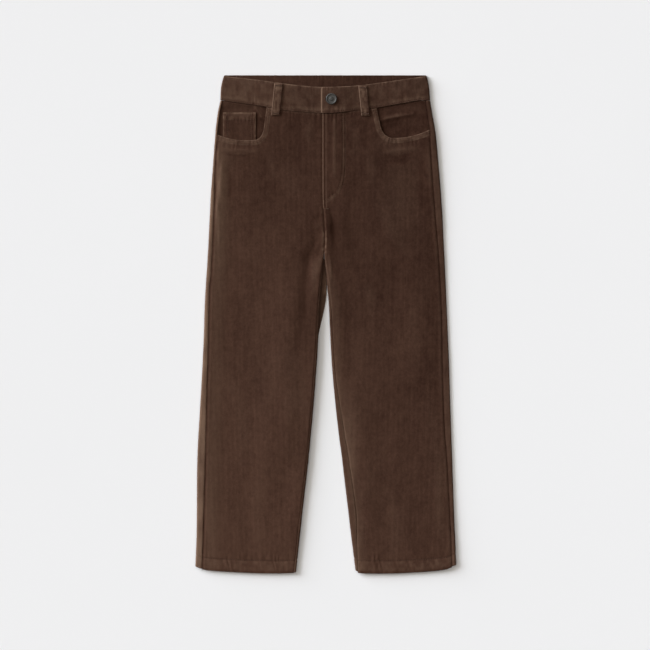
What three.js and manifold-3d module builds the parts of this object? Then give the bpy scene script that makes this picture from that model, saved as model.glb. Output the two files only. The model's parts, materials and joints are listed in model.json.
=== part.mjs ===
// A child's straight corduroy trousers, laid flat on a surface with the front up.
// Millimetres. X runs across the garment, Y from the hems (-Y) to the waist (+Y), Z up from the surface.
// The origin is under the middle of the garment, on the surface. "down" is the distance below the waist's
// highest edge, and "right" and "left" are the wearer's, so the right leg lies on the -X side.
import * as THREE from 'three';
import Module from 'manifold-3d';

const wasm = await Module();
wasm.setup();

// Driving sizes
const LENGTH = 722; // back waist edge to the lowest point of the hems
const WAIST_TOP = LENGTH / 2; // Y of the back waist edge
const CLOTH = 1.2; // wall of the corduroy panels
const FACING = 1.0; // wall of the pocket facings and the coin pocket
const BAND = 2.4; // wall of the waistband: two cloths and their turnings
const HEM_WALL = 2.4; // wall of the turned-up hem
const HEM_DEPTH = 18; // height of the turned-up hem
const GAP = 0.3; // between neighbouring pieces
const WAIST_GAP = 0.4; // along the curved waist seam
const CROTCH = 256; // where the centre seams end and the legs part
const FRONT_TOP = 55; // level of the front panels' first row, at the fly
const LOOP_WIDTH = 12.3;
const LOOP_CLOTH = 1.1;
const BUTTON_RADIUS = 8;

const clamp01 = (t) => Math.min(1, Math.max(0, t));
const ease = (t) => clamp01(t) ** 2 * (3 - 2 * clamp01(t));
const mix = (a, b, t) => a + (b - a) * t;
const y = (down) => WAIST_TOP - down;

// A smooth curve through one column of a table, read against another column.
function curve(rows, at, value) {
  const xs = rows.map((row) => row[at]);
  const ys = rows.map((row) => row[value]);
  const last = rows.length - 1;
  const slopes = xs.map((_, i) => {
    const before = Math.max(0, i - 1);
    const after = Math.min(last, i + 1);
    return (ys[after] - ys[before]) / (xs[after] - xs[before]);
  });
  return (t) => {
    if (t <= xs[0]) return ys[0];
    if (t >= xs[last]) return ys[last];
    const i = xs.findIndex((x) => x > t) - 1;
    const width = xs[i + 1] - xs[i];
    const s = (t - xs[i]) / width;
    const rise = s * s * (3 - 2 * s);
    const leave = width * slopes[i] * s * (1 - s) ** 2;
    const arrive = width * slopes[i + 1] * s * s * (s - 1);
    return mix(ys[i], ys[i + 1], rise) + leave + arrive;
  };
}

// The waist, seen from above: where the front waistband's two edges lie below the back's top edge.
const WAISTBAND_EDGES = [
  { x: -150, top: 1.0, bottom: 36.3 },
  { x: -128, top: 3.5, bottom: 40.0 },
  { x: -92, top: 7.6, bottom: 45.0 },
  { x: -64, top: 11.6, bottom: 50.5 },
  { x: -36, top: 15.0, bottom: 53.2 },
  { x: -8, top: 17.0, bottom: 55.0 },
  { x: 16, top: 16.8, bottom: 54.7 },
  { x: 48, top: 14.7, bottom: 50.5 },
  { x: 75, top: 11.3, bottom: 47.3 },
  { x: 108, top: 6.7, bottom: 41.4 },
  { x: 134, top: 2.9, bottom: 37.2 },
  { x: 148, top: 1.2, bottom: 36.3 },
];
const bandTop = curve(WAISTBAND_EDGES, 'x', 'top');
const bandBottom = curve(WAISTBAND_EDGES, 'x', 'bottom');
const BACK_BAND = { top: 0, bottom: 36.3 };

// The line where the two halves meet, above the crotch: the fly's edge and the seam below it.
const CENTRE_SEAM = [
  { down: 36, x: -4.6 },
  { down: 168, x: -4.4 },
  { down: 193, x: -3.8 },
  { down: 215, x: -2.2 },
  { down: 240, x: -1.4 },
  { down: CROTCH, x: -2.3 },
];
const centreSeam = curve(CENTRE_SEAM, 'down', 'x');

// Legs. outline and inner are the garment's own edges; side and inseam say how far in from them the seams
// lie on top; height is how high the folded edge stands there.
const LEGS = {
  right: {
    hand: -1,
    outer: [
      { down: 0, outline: -147.5, side: 3.0, height: 5.8 },
      { down: 15, outline: -151.4, side: 3.0, height: 5.8 },
      { down: 36, outline: -152.9, side: 3.0, height: 5.8 },
      { down: 55, outline: -156.5, side: 3.0, height: 5.8 },
      { down: 75, outline: -159.0, side: 2.8, height: 5.8 },
      { down: 95, outline: -160.6, side: 2.8, height: 5.8 },
      { down: 125, outline: -162.9, side: 3.2, height: 6.0 },
      { down: 178, outline: -166.7, side: 5.4, height: 6.2 },
      { down: 265, outline: -171.2, side: 6.5, height: 6.2 },
      { down: 320, outline: -174.8, side: 6.3, height: 6.2 },
      { down: 401, outline: -177.7, side: 7.2, height: 6.2 },
      { down: 464, outline: -181.2, side: 8.9, height: 6.2 },
      { down: 552, outline: -186.0, side: 11.6, height: 6.2 },
      { down: 662, outline: -187.1, side: 9.7, height: 6.2 },
      { down: LENGTH, outline: -189.0, side: 9.6, height: 5.8 },
    ],
    inner: [
      { down: CROTCH, edge: -2.3, inseam: 0.6, height: 3.7 },
      { down: 271, edge: -3.3, inseam: 1.0, height: 5.4 },
      { down: 290, edge: -5.2, inseam: 2.0, height: 7.6 },
      { down: 333, edge: -8.2, inseam: 3.2, height: 9.2 },
      { down: 400, edge: -11.9, inseam: 3.3, height: 9.2 },
      { down: 471, edge: -17.0, inseam: 3.3, height: 8.8 },
      { down: 558, edge: -25.0, inseam: 3.3, height: 8.0 },
      { down: 640, edge: -34.5, inseam: 3.3, height: 7.0 },
      { down: LENGTH, edge: -43.0, inseam: 3.3, height: 5.8 },
    ],
    hem: [
      { in: 0, down: 712.5 },
      { in: 7, down: 715 },
      { in: 19, down: 717.5 },
      { in: 62, down: 720.5 },
      { in: 113, down: LENGTH },
      { in: 147, down: 721 },
    ],
    backHemRise: 0.6,
    pocket: { plateau: 5.6, inner: -72, floor: 106 },
    mouth: {
      waist: { x: -85.6, down: 46 },
      turnIn: { x: -89.5, down: 76 },
      corner: { x: -92, down: 94.5 },
      turnOut: { x: -106, down: 94 },
      bow: { x: -135, down: 96 },
      sideDown: 86,
    },
  },
  left: {
    hand: 1,
    outer: [
      { down: 0, outline: 146.4, side: 7.5, height: 5.8 },
      { down: 15, outline: 149.4, side: 7.5, height: 5.8 },
      { down: 36, outline: 151.5, side: 7.5, height: 5.8 },
      { down: 55, outline: 154.4, side: 7.5, height: 5.8 },
      { down: 80, outline: 158.7, side: 8.1, height: 5.8 },
      { down: 100, outline: 161.0, side: 9.6, height: 6.0 },
      { down: 181, outline: 167.6, side: 10.7, height: 4.6 },
      { down: 263, outline: 172.0, side: 8.3, height: 3.6 },
      { down: 346, outline: 176.0, side: 8.1, height: 3.3 },
      { down: 427, outline: 179.0, side: 9.7, height: 3.2 },
      { down: 511, outline: 181.6, side: 9.6, height: 3.3 },
      { down: 566, outline: 183.6, side: 7.4, height: 3.6 },
      { down: 676, outline: 187.6, side: 6.0, height: 5.0 },
      { down: LENGTH, outline: 189.0, side: 6.0, height: 5.8 },
    ],
    inner: [
      { down: CROTCH, edge: -2.3, inseam: 0.6, height: 3.9 },
      { down: 271, edge: -1.6, inseam: 1.0, height: 5.0 },
      { down: 290, edge: 0.6, inseam: 1.4, height: 6.2 },
      { down: 333, edge: 4.4, inseam: 3.2, height: 6.4 },
      { down: 384, edge: 6.9, inseam: 3.6, height: 5.6 },
      { down: 442, edge: 10.7, inseam: 4.4, height: 5.0 },
      { down: 514, edge: 18.0, inseam: 8.4, height: 4.7 },
      { down: 558, edge: 23.6, inseam: 10.0, height: 4.6 },
      { down: 635, edge: 33.0, inseam: 10.8, height: 5.0 },
      { down: 680, edge: 37.9, inseam: 7.5, height: 5.4 },
      { down: LENGTH, edge: 43.0, inseam: 3.4, height: 5.8 },
    ],
    hem: [
      { in: 0, down: 711.5 },
      { in: 8, down: 713.5 },
      { in: 14, down: 716 },
      { in: 36, down: 719 },
      { in: 92, down: LENGTH },
      { in: 140, down: 721.5 },
      { in: 147, down: 719 },
    ],
    backHemRise: 1.6,
    pocket: { plateau: 4.9, inner: 63, floor: 104 },
    mouth: {
      waist: { x: 74, down: 47 },
      turnIn: { x: 78.5, down: 69 },
      corner: { x: 82, down: 91 },
      turnOut: { x: 99, down: 91 },
      bow: { x: 125, down: 91 },
      sideDown: 79,
    },
  },
};

// Height of the fronts' outer face away from their edges.
const FRONT_HEIGHT = [
  { down: 36, height: 5.0 },
  { down: 60, height: 4.7 },
  { down: 110, height: 4.0 },
  { down: 200, height: 3.8 },
  { down: 320, height: 4.1 },
  { down: 620, height: 4.1 },
  { down: 690, height: 5.2 },
  { down: LENGTH, height: 5.3 },
];
const frontHeight = curve(FRONT_HEIGHT, 'down', 'height');

// The fly: the left front is doubled from its edge out to the curved stitching, so it stands a little higher.
const FLY = { width: 30, end: 178, rise: 0.8, fade: 7 };

// The largest soft folds of the fronts, each along a line from its head to its foot.
// A trough has a rise below zero.
const FOLDS = [
  { leg: 'right', x: -14, down: 226, toX: -25, toDown: 268, width: 7, rise: -0.8 },
  { leg: 'right', x: -25, down: 268, toX: -39, toDown: 400, width: 9, rise: -0.9 },
  { leg: 'right', x: -16, down: 268, toX: -22, toDown: 350, width: 5, rise: 0.7 },
  { leg: 'right', x: -153, down: 112, toX: -152, toDown: 180, width: 8, rise: 0.9 },
  { leg: 'right', x: -146, down: 110, toX: -100, toDown: 108, width: 5, rise: 0.6 },
  { leg: 'right', x: -46, down: 335, toX: -58, toDown: 530, width: 36, rise: 5.0 },
  { leg: 'left', x: 7, down: 198, toX: 15, toDown: 236, width: 6, rise: -0.7 },
  { leg: 'left', x: 22, down: 205, toX: 34, toDown: 290, width: 9, rise: 0.6 },
  { leg: 'left', x: 84, down: 112, toX: 134, toDown: 106, width: 5, rise: 0.6 },
  { leg: 'left', x: 92, down: 124, toX: 120, toDown: 122, width: 5, rise: -0.5 },
  { leg: 'left', x: 58, down: 330, toX: 74, toDown: 500, width: 20, rise: 0.6 },
  { leg: 'left', x: 38, down: 460, toX: 60, toDown: 640, width: 20, rise: 1.8 },
  { leg: 'left', x: 106, down: 250, toX: 98, toDown: 320, width: 14, rise: -0.5 },
];

function foldRise(legName, x, down) {
  let sum = 0;
  for (const fold of FOLDS.filter((f) => f.leg === legName)) {
    const dx = fold.toX - fold.x;
    const dd = fold.toDown - fold.down;
    const share = clamp01(((x - fold.x) * dx + (down - fold.down) * dd) / (dx * dx + dd * dd));
    const away = Math.hypot(x - fold.x - share * dx, down - fold.down - share * dd);
    sum += fold.rise * Math.exp(-((away / fold.width) ** 2));
  }
  return sum;
}

// What a leg measures at one level.
for (const [name, leg] of Object.entries(LEGS)) {
  leg.name = name;
  leg.outline = curve(leg.outer, 'down', 'outline');
  leg.sideInset = curve(leg.outer, 'down', 'side');
  leg.sideHeight = curve(leg.outer, 'down', 'height');
  leg.innerEdge = curve(leg.inner, 'down', 'edge');
  leg.inseamInset = curve(leg.inner, 'down', 'inseam');
  leg.innerHeight = curve(leg.inner, 'down', 'height');
  leg.hemDown = curve(leg.hem, 'in', 'down');
}
const CURL_LENGTH = 12; // below the crotch, over which the inner edges turn from flat to a full fold
const HEM_STEP = 4; // over which the cloth thickens to the turned-up hem
const HEM_TOP = LENGTH - HEM_DEPTH;
const curlAt = (down) => ease((down - CROTCH) / CURL_LENGTH);
const innerX = (leg, down) => (down < CROTCH ? centreSeam(down) : leg.innerEdge(down));
const hemShare = (down) => ease((down - (HEM_TOP - HEM_STEP)) / HEM_STEP);
const wallAt = (down) => mix(CLOTH, HEM_WALL, hemShare(down));

// The outer face of a front panel, as a height over the surface the garment lies on.
const EDGE_REACH = 30; // how far in from an edge its height still tells
const POCKET_FADE = 28; // how far past the pocket facing the front still stands on it
const CROTCH_REACH = 20; // how far above the crotch the inner edges begin to rise
function faceHeight(leg, x, down) {
  const fromOutline = Math.abs(x - leg.outline(down));
  const fromInner = Math.abs(x - innerX(leg, down));
  const flyRise = leg.hand > 0 ? flyShare(x, down) * FLY.rise : 0;
  let height = frontHeight(down) + foldRise(leg.name, x, down);
  const { plateau, inner, floor } = leg.pocket;
  const pastInner = Math.max(0, leg.hand * (inner - x));
  const pastFloor = Math.max(0, down - floor);
  const onPocket = 1 - ease(Math.hypot(pastInner, pastFloor) / POCKET_FADE);
  height = mix(height, Math.max(height, plateau), onPocket) + flyRise;
  const fromSide = Math.max(0, fromOutline - leg.sideInset(down));
  height = mix(leg.sideHeight(down), height, ease(fromSide / EDGE_REACH));
  const legStarted = ease((down - CROTCH + CROTCH_REACH) / CROTCH_REACH);
  const fromInseam = Math.max(0, fromInner - leg.inseamInset(down));
  return mix(height, mix(leg.innerHeight(down), height, ease(fromInseam / EDGE_REACH)), legStarted);
}

// 1 on the doubled fly and 0 outside its curved stitching.
function flyShare(x, down) {
  const across = (x - centreSeam(down)) / FLY.width;
  const along = Math.max(0, (down - FLY.end + FLY.width) / FLY.width);
  const reach = Math.hypot(across, along);
  return 1 - ease(((reach - 1) * FLY.width) / FLY.fade + 0.5);
}

// How a front panel ends at an edge of the garment: a point at distance s from its seam, given as the
// distance from the garment's edge, the height below the face, and the direction out of the cloth.
function frontEnd(radius, inset, curl, s) {
  const seam = curl * Math.asin(clamp01(1 - inset / radius));
  const angle = Math.max(0, seam - s / radius);
  const past = Math.max(0, s - seam * radius);
  return {
    from: inset * curl + radius * (Math.sin(seam) - Math.sin(angle)) + past,
    drop: radius * (1 - Math.cos(angle)),
    out: Math.sin(angle),
    up: Math.cos(angle),
  };
}

// How a back panel ends: from its seam on top, round the garment's edge and on along the flat underside.
function backEnd(radius, inset, curl, s) {
  const onTop = curl * Math.max(0, inset - radius);
  const first = Math.PI - curl * (Math.PI - Math.asin(clamp01(1 - inset / radius)));
  const reach = first <= Math.PI / 2 ? 1 : Math.sin(first);
  if (s < onTop) return { from: inset - s, z: 2 * radius, out: 0, up: 1 };
  const angle = Math.min(Math.PI, first + (s - onTop) / radius);
  const past = Math.max(0, s - onTop - (Math.PI - first) * radius);
  return {
    from: radius * (reach - Math.sin(angle)) + past,
    z: radius * (1 + Math.cos(angle)),
    out: Math.sin(angle),
    up: Math.cos(angle),
  };
}

// A closed wall from a grid of outer points, each with the direction out of the cloth and its thickness.
function wall(name, material, grid) {
  const rows = grid.length;
  const columns = grid[0].length;
  const outer = grid.flat().map(({ point }) => point);
  const inside = grid.flat().map(({ point, out, thick }) => point.clone().addScaledVector(out, -thick));
  const at = (j, i) => j * columns + i;
  const below = (j, i) => rows * columns + at(j, i);
  const index = [];
  const quad = (a, b, c, d) => index.push(a, b, c, a, c, d);
  for (let j = 0; j < rows - 1; j += 1) {
    for (let i = 0; i < columns - 1; i += 1) {
      quad(at(j, i), at(j, i + 1), at(j + 1, i + 1), at(j + 1, i));
      quad(below(j, i), below(j + 1, i), below(j + 1, i + 1), below(j, i + 1));
    }
    quad(at(j, 0), at(j + 1, 0), below(j + 1, 0), below(j, 0));
    quad(at(j + 1, columns - 1), at(j, columns - 1), below(j, columns - 1), below(j + 1, columns - 1));
  }
  for (let i = 0; i < columns - 1; i += 1) {
    quad(at(0, i + 1), at(0, i), below(0, i), below(0, i + 1));
    quad(at(rows - 1, i), at(rows - 1, i + 1), below(rows - 1, i + 1), below(rows - 1, i));
  }
  return solid(name, material, [...outer, ...inside], index);
}

// A closed body from rings of equally many points, one ring after the other, with flat ends.
function loft(name, material, rings) {
  const count = rings[0].length;
  const index = [];
  for (let r = 0; r < rings.length - 1; r += 1) {
    for (let i = 0; i < count; i += 1) {
      const next = (i + 1) % count;
      const [a, b] = [r * count + i, r * count + next];
      index.push(a, b, b + count, a, b + count, a + count);
    }
  }
  const start = (rings.length - 1) * count;
  for (let i = 1; i < count - 1; i += 1) {
    index.push(0, i + 1, i);
    index.push(start, start + i, start + i + 1);
  }
  return solid(name, material, rings.flat(), index);
}

// The mesh, with its faces turned outwards.
function solid(name, material, points, index) {
  let volume = 0;
  for (let k = 0; k < index.length; k += 3) {
    const [a, b, c] = [points[index[k]], points[index[k + 1]], points[index[k + 2]]];
    volume += a.dot(b.clone().cross(c));
  }
  if (volume < 0) index.reverse();
  const geometry = new THREE.BufferGeometry();
  geometry.setAttribute('position', new THREE.Float32BufferAttribute(points.flatMap((p) => p.toArray()), 3));
  geometry.setIndex(index);
  geometry.computeVertexNormals();
  const mesh = new THREE.Mesh(geometry, material);
  mesh.name = name;
  return mesh;
}

// Levels of the panels' rows, from the waist seam to the hem.
const LEVELS = [
  FRONT_TOP, 64, 74, 86, 100, 118, 145, 180, 218, CROTCH, CROTCH + 4, CROTCH + 8, CROTCH + 12,
  CROTCH + 24, 310, 350, 410, 480, 550, 620, 670, HEM_TOP - HEM_STEP, HEM_TOP, LENGTH,
];
const ROWS_SETTLE = 185; // over which the rows turn from the top edge's shape to level
const COLUMNS_SETTLE = 70; // over which the columns move from the top edge's points to even steps
const HEM_SETTLE = 82; // above the hem, over which the rows take up its shape
const nearHem = (down) => ease((down - LENGTH) / HEM_SETTLE + 1);

function hemShift(leg, x, down) {
  const inFromSide = Math.abs(x - leg.outline(LENGTH));
  return (leg.hemDown(inFromSide) - LENGTH) * nearHem(down);
}

// The pocket mouth's edge, from the side seam to the waist seam.
const MOUTH_STEPS = 12;
function mouthPoints(leg) {
  const { waist, turnIn, corner, turnOut, bow, sideDown } = leg.mouth;
  const sideX = leg.outline(sideDown) - leg.hand * (leg.sideInset(sideDown) + GAP / 2);
  const flat = ({ x, down }) => new THREE.Vector2(x, down);
  const path = new THREE.CurvePath();
  path.add(new THREE.QuadraticBezierCurve(new THREE.Vector2(sideX, sideDown), flat(bow), flat(turnOut)));
  path.add(new THREE.QuadraticBezierCurve(flat(turnOut), flat(corner), flat(turnIn)));
  path.add(new THREE.LineCurve(flat(turnIn), new THREE.Vector2(waist.x, bandBottom(waist.x) + WAIST_GAP)));
  return path.getSpacedPoints(MOUTH_STEPS);
}

// Columns of a front panel: distances from the side seam, even steps between, distances from the inner end.
const SIDE_STEPS = [0, 3, 7, 13, 21, 31];
const WAIST_STEPS = 3; // columns along the waist seam between the mouth and the first inner step
const INNER_STEPS = [24, 15, 9, 6, 4, 2, 0];
const FRONT_COLUMNS = MOUTH_STEPS + 1 + WAIST_STEPS + INNER_STEPS.length;

function topEdge(leg) {
  const edge = mouthPoints(leg).map((p) => ({ x: p.x, down: p.y }));
  const inner = INNER_STEPS.map((step) => centreSeam(FRONT_TOP) + leg.hand * (step + GAP / 2));
  const steps = [...Array(WAIST_STEPS).keys()].map((i) => (i + 1) / (WAIST_STEPS + 1));
  const between = steps.map((share) => mix(leg.mouth.waist.x, inner[0], share));
  for (const x of [...between, ...inner]) edge.push({ x, down: bandBottom(x) + WAIST_GAP });
  return edge;
}

function frontPoint(leg, edge, column, level) {
  const settle = clamp01((level - FRONT_TOP) / ROWS_SETTLE);
  let down = level + (edge[column].down - FRONT_TOP) * (1 - settle) ** 1.5;
  const sideRadius = leg.sideHeight(down) / 2;
  const innerRadius = leg.innerHeight(down) / 2;
  const curl = curlAt(down);
  const sideEnd = (s) => frontEnd(sideRadius, leg.sideInset(down), 1, s + GAP / 2);
  const innerEnd = (s) => frontEnd(innerRadius, leg.inseamInset(down), curl, s + GAP / 2);
  const sideX = (end) => leg.outline(down) - leg.hand * end.from;
  const endX = (end) => innerX(leg, down) + leg.hand * end.from;
  const firstInner = FRONT_COLUMNS - INNER_STEPS.length;
  let end = null;
  let x;
  let lean = 0;
  if (column < SIDE_STEPS.length) {
    end = sideEnd(SIDE_STEPS[column]);
    x = sideX(end);
    lean = leg.hand;
  } else if (column >= firstInner) {
    end = innerEnd(INNER_STEPS[column - firstInner]);
    x = endX(end);
    lean = -leg.hand;
  } else {
    const share = (column - SIDE_STEPS.length + 1) / (firstInner - SIDE_STEPS.length + 1);
    x = mix(sideX(sideEnd(SIDE_STEPS.at(-1))), endX(innerEnd(INNER_STEPS[0])), share);
  }
  const fresh = 1 - ease((level - FRONT_TOP) / COLUMNS_SETTLE);
  x = mix(x, edge[column].x, fresh);
  const z = faceHeight(leg, x, down) - (end ? end.drop * (1 - fresh) : 0);
  const out = end ? end.out * (1 - fresh) : 0;
  const thick = wallAt(down);
  down += hemShift(leg, x, down);
  return {
    point: new THREE.Vector3(x, y(down), z),
    out: new THREE.Vector3(lean * out, 0, Math.sqrt(1 - out * out)),
    thick,
  };
}

function frontPanel(leg, material) {
  const edge = topEdge(leg);
  const columns = [...edge.keys()];
  const grid = LEVELS.map((level) => columns.map((column) => frontPoint(leg, edge, column, level)));
  return wall(`front_${leg.name}`, material, grid);
}

// Columns of a back panel, as distances along the cloth from its two seams.
const ROUND_STEPS = [0, 2.4, 4.8, 7.2, 9.6, 12, 14.5, 17.5, 21, 30];
const BACK_MIDDLE = 2;
const BACK_LEVELS = [BACK_BAND.bottom + WAIST_GAP, ...LEVELS];

function backPoint(leg, column, level) {
  const inner = ROUND_STEPS.length + BACK_MIDDLE;
  const radii = [leg.sideHeight(level) / 2, leg.innerHeight(level) / 2];
  const sideEnd = (s) => backEnd(radii[0], leg.sideInset(level), 1, s + GAP / 2);
  const innerEnd = (s) => backEnd(radii[1], leg.inseamInset(level), curlAt(level), s + GAP / 2);
  const sideX = (end) => leg.outline(level) - leg.hand * end.from;
  const endX = (end) => innerX(leg, level) + leg.hand * end.from;
  let end = { z: 0, out: 0, up: -1 };
  let x;
  let lean = 0;
  if (column < ROUND_STEPS.length) {
    end = sideEnd(ROUND_STEPS[column]);
    x = sideX(end);
    lean = leg.hand;
  } else if (column >= inner) {
    end = innerEnd(ROUND_STEPS[ROUND_STEPS.length - 1 - (column - inner)]);
    x = endX(end);
    lean = -leg.hand;
  } else {
    const share = (column - ROUND_STEPS.length + 1) / (BACK_MIDDLE + 1);
    x = mix(sideX(sideEnd(ROUND_STEPS.at(-1))), endX(innerEnd(ROUND_STEPS.at(-1))), share);
  }
  const waistDrop = clamp01(end.up) * (bandBottom(x) - BACK_BAND.bottom) * ease((CROTCH - level) / CROTCH);
  const down = level + waistDrop + hemShift(leg, x, level) - leg.backHemRise * nearHem(level);
  return {
    point: new THREE.Vector3(x, y(down), end.z),
    out: new THREE.Vector3(lean * end.out, 0, end.up),
    thick: wallAt(level),
  };
}

function backPanel(leg, material) {
  const columns = [...Array(2 * ROUND_STEPS.length + BACK_MIDDLE).keys()];
  const grid = BACK_LEVELS.map((level) => columns.map((column) => backPoint(leg, column, level)));
  return wall(`back_${leg.name}`, material, grid);
}

// The coin pocket, and how deep the facing lies under it and in the pocket mouths.
const COIN_POCKET = { x: -149, toX: -101.3, down: 54, toDown: 101, columns: 6, rows: 5 };
const MOUTH_HOLLOW = { x: 96, down: 76, reach: 26, depth: 0.7 };
const FACING_GRID = { columns: 12, rows: 9, dropFrom: 40, dropTo: 50 };
const LAYER_GAP = 0.45; // between cloths that lie on each other over a wide area

function underFront(leg, x, down) {
  return faceHeight(leg, x, down) - CLOTH - LAYER_GAP;
}

function facingHeight(leg, x, down) {
  if (leg.hand > 0) {
    const away = Math.hypot(x - MOUTH_HOLLOW.x, down - MOUTH_HOLLOW.down) / MOUTH_HOLLOW.reach;
    return underFront(leg, x, down) - MOUTH_HOLLOW.depth * (1 - ease(away));
  }
  const { dropFrom, dropTo } = FACING_GRID;
  return underFront(leg, x, down) - (FACING + LAYER_GAP) * ease((down - dropFrom) / (dropTo - dropFrom));
}

function pocketFacing(leg, material) {
  const { columns, rows } = FACING_GRID;
  const grid = [];
  for (let j = 0; j < rows; j += 1) {
    const row = [];
    for (let i = 0; i < columns; i += 1) {
      const sideX = (level) => leg.outline(level) - leg.hand * (leg.sideInset(level) + GAP);
      const across = (level) => mix(sideX(level), leg.pocket.inner, i / (columns - 1));
      const waist = bandBottom(across(BACK_BAND.bottom)) + WAIST_GAP;
      const down = mix(waist, leg.pocket.floor, j / (rows - 1));
      const x = across(down);
      row.push({
        point: new THREE.Vector3(x, y(down), facingHeight(leg, x, down)),
        out: new THREE.Vector3(0, 0, 1),
        thick: FACING,
      });
    }
    grid.push(row);
  }
  return wall(`pocket_facing_${leg.name}`, material, grid);
}

function coinPocket(material) {
  const { x, toX, down, toDown, columns, rows } = COIN_POCKET;
  const grid = [];
  for (let j = 0; j < rows; j += 1) {
    const row = [];
    for (let i = 0; i < columns; i += 1) {
      const px = mix(x, toX, i / (columns - 1));
      const pd = mix(down, toDown, j / (rows - 1));
      row.push({
        point: new THREE.Vector3(px, y(pd), underFront(LEGS.right, px, pd)),
        out: new THREE.Vector3(0, 0, 1),
        thick: FACING,
      });
    }
    grid.push(row);
  }
  return wall('coin_pocket', material, grid);
}

// The waistband: one strip from the under end at the fly, round the right side, the back and the left side
// to the lapped end. A station gives the outer face, where it lies and which way it faces.
const UNDER_END = 22; // X of the hidden end that carries the button
const OVER_END = -7.0; // X of the lapped end
const BAND_HEIGHT = 5.8; // of the front's outer face at the sides
const UNDER_FACE = 2 * BAND + GAP; // of the hidden end's outer face
const OVER_FACE = UNDER_FACE + GAP + BAND; // of the lapped end's outer face
const LAP_RAMP = { from: 24, to: 45 }; // X over which the lapped end comes down to the single band
const UNDER_RAMP = { from: -60, to: -14 };
const BACK_LOOPS = { right: -104, centre: -2, left: 100 };
const LOOP_RECESS = 1.3; // how deep the back loops are set into the underside
const RECESS_SLACK = 0.8;
const RECESS_EDGE = 0.4; // over which the recess is reached
const BESIDE_LOOP = 18;
const RIGHT_BAND_STATIONS = [UNDER_END, 13, 3, -8, -20, -34, -48, -64, -82, -100, -118, -134];
const LEFT_BAND_STATIONS = [
  134, 118, 100, 82, 66, 55, 45, 40, 35, 30, 24, 14, 2, OVER_END + 2.5, OVER_END + 0.7, OVER_END,
];

function bandStations() {
  const radius = BAND_HEIGHT / 2;
  const stations = [];
  const front = (x, z) => stations.push({ x, z, out: 0, up: 1, front: true });
  const along = (ramp, x) => ease((x - ramp.from) / (ramp.to - ramp.from));
  const rightFace = (x) => mix(BAND_HEIGHT, UNDER_FACE, along(UNDER_RAMP, x));
  const leftFace = (x) => mix(OVER_FACE, BAND_HEIGHT, along(LAP_RAMP, x));
  for (const x of RIGHT_BAND_STATIONS) front(x, rightFace(x));
  const turn = [0, 30, 60, 90, 120, 150, 180];
  const side = (hand) => (degrees) => {
    const angle = THREE.MathUtils.degToRad(degrees);
    const [out, up] = [Math.sin(angle), Math.cos(angle)];
    stations.push({ side: hand, from: radius * (1 - out), z: radius * (1 + up), out, up });
  };
  turn.forEach(side(-1));
  const half = LOOP_WIDTH / 2 + RECESS_SLACK;
  const back = (x, z) => stations.push({ x, z, out: 0, up: -1, recess: z });
  for (const centre of Object.values(BACK_LOOPS)) {
    back(centre - half - BESIDE_LOOP, 0);
    back(centre - half - RECESS_EDGE, 0);
    back(centre - half, LOOP_RECESS);
    back(centre + half, LOOP_RECESS);
    back(centre + half + RECESS_EDGE, 0);
    back(centre + half + BESIDE_LOOP, 0);
  }
  turn.toReversed().forEach(side(1));
  for (const x of LEFT_BAND_STATIONS) front(x, leftFace(x));
  return stations;
}

// The band's own section: share of the way from its top edge to its bottom edge, a set-back at the rounded
// edges, and the depth into the cloth.
const BAND_SECTION = [
  { share: 0, inset: 0, depth: 0.8 },
  { share: 0, inset: 0.7, depth: 0 },
  { share: 0.33, inset: 0, depth: 0 },
  { share: 0.67, inset: 0, depth: 0 },
  { share: 1, inset: -0.7, depth: 0 },
  { share: 1, inset: 0, depth: 0.8 },
  { share: 1, inset: 0, depth: BAND - 0.8 },
  { share: 1, inset: -0.7, depth: BAND },
  { share: 0.67, inset: 0, depth: BAND },
  { share: 0.33, inset: 0, depth: BAND },
  { share: 0, inset: 0.7, depth: BAND },
  { share: 0, inset: 0, depth: BAND - 0.8 },
];

const LAP_CORNER = [2.4, 0.7]; // how far the lapped end's last two rings fall short: its rounded upper corner

function bandRing(station, fromEnd) {
  const rounding = LAP_CORNER[fromEnd] ?? 0;
  return BAND_SECTION.map(({ share, inset, depth }) => {
    const edgesAt = (x) =>
      station.front
        ? { top: bandTop(x) + rounding, bottom: bandBottom(x) - rounding / 3 }
        : { top: BACK_BAND.top + (station.side ? sideDip(station) : 0), bottom: BACK_BAND.bottom };
    const first = edgesAt(station.x);
    const edges = edgesAt(station.x + slantAt(station.x, mix(first.top, first.bottom, share)));
    const down = mix(edges.top, edges.bottom, share) + inset;
    const left = LEGS.left.outline(down);
    const right = LEGS.right.outline(down);
    const slant = station.side ? 0 : slantAt(station.x, down);
    const edge = station.side > 0 ? left - station.from : right + (station.from ?? 0);
    const x = station.side ? edge : station.x + slant;
    const full = station.recess ? (depth / BAND) * (BAND - station.recess) : depth;
    const lean = (station.side ?? 0) * station.out;
    return new THREE.Vector3(x - lean * full, y(down), station.z - station.up * full);
  });
}

// The front edge's top lies a little lower than the back's, and the fold between them shares it out.
function sideDip(station) {
  const dip = bandTop(station.side * 150);
  return dip * (0.5 + 0.5 * station.up);
}

// Near the sides the stations lean with the outline, and in the middle they stand straight.
const SLANT = { from: 112, to: 150 }; // distances from the middle
function slantAt(x, down) {
  const leg = x < 0 ? LEGS.right : LEGS.left;
  const middle = BACK_BAND.bottom / 2;
  const share = ease((Math.abs(x) - SLANT.from) / (SLANT.to - SLANT.from));
  return (leg.outline(down) - leg.outline(middle)) * share;
}

const BUTTON = { x: 8.2, down: 34.5, shank: 2.2, capBase: OVER_FACE + GAP, cap: 2.4 };
const BUTTONHOLE = { from: -8.6, to: 6.5, width: 5.4 };

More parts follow.
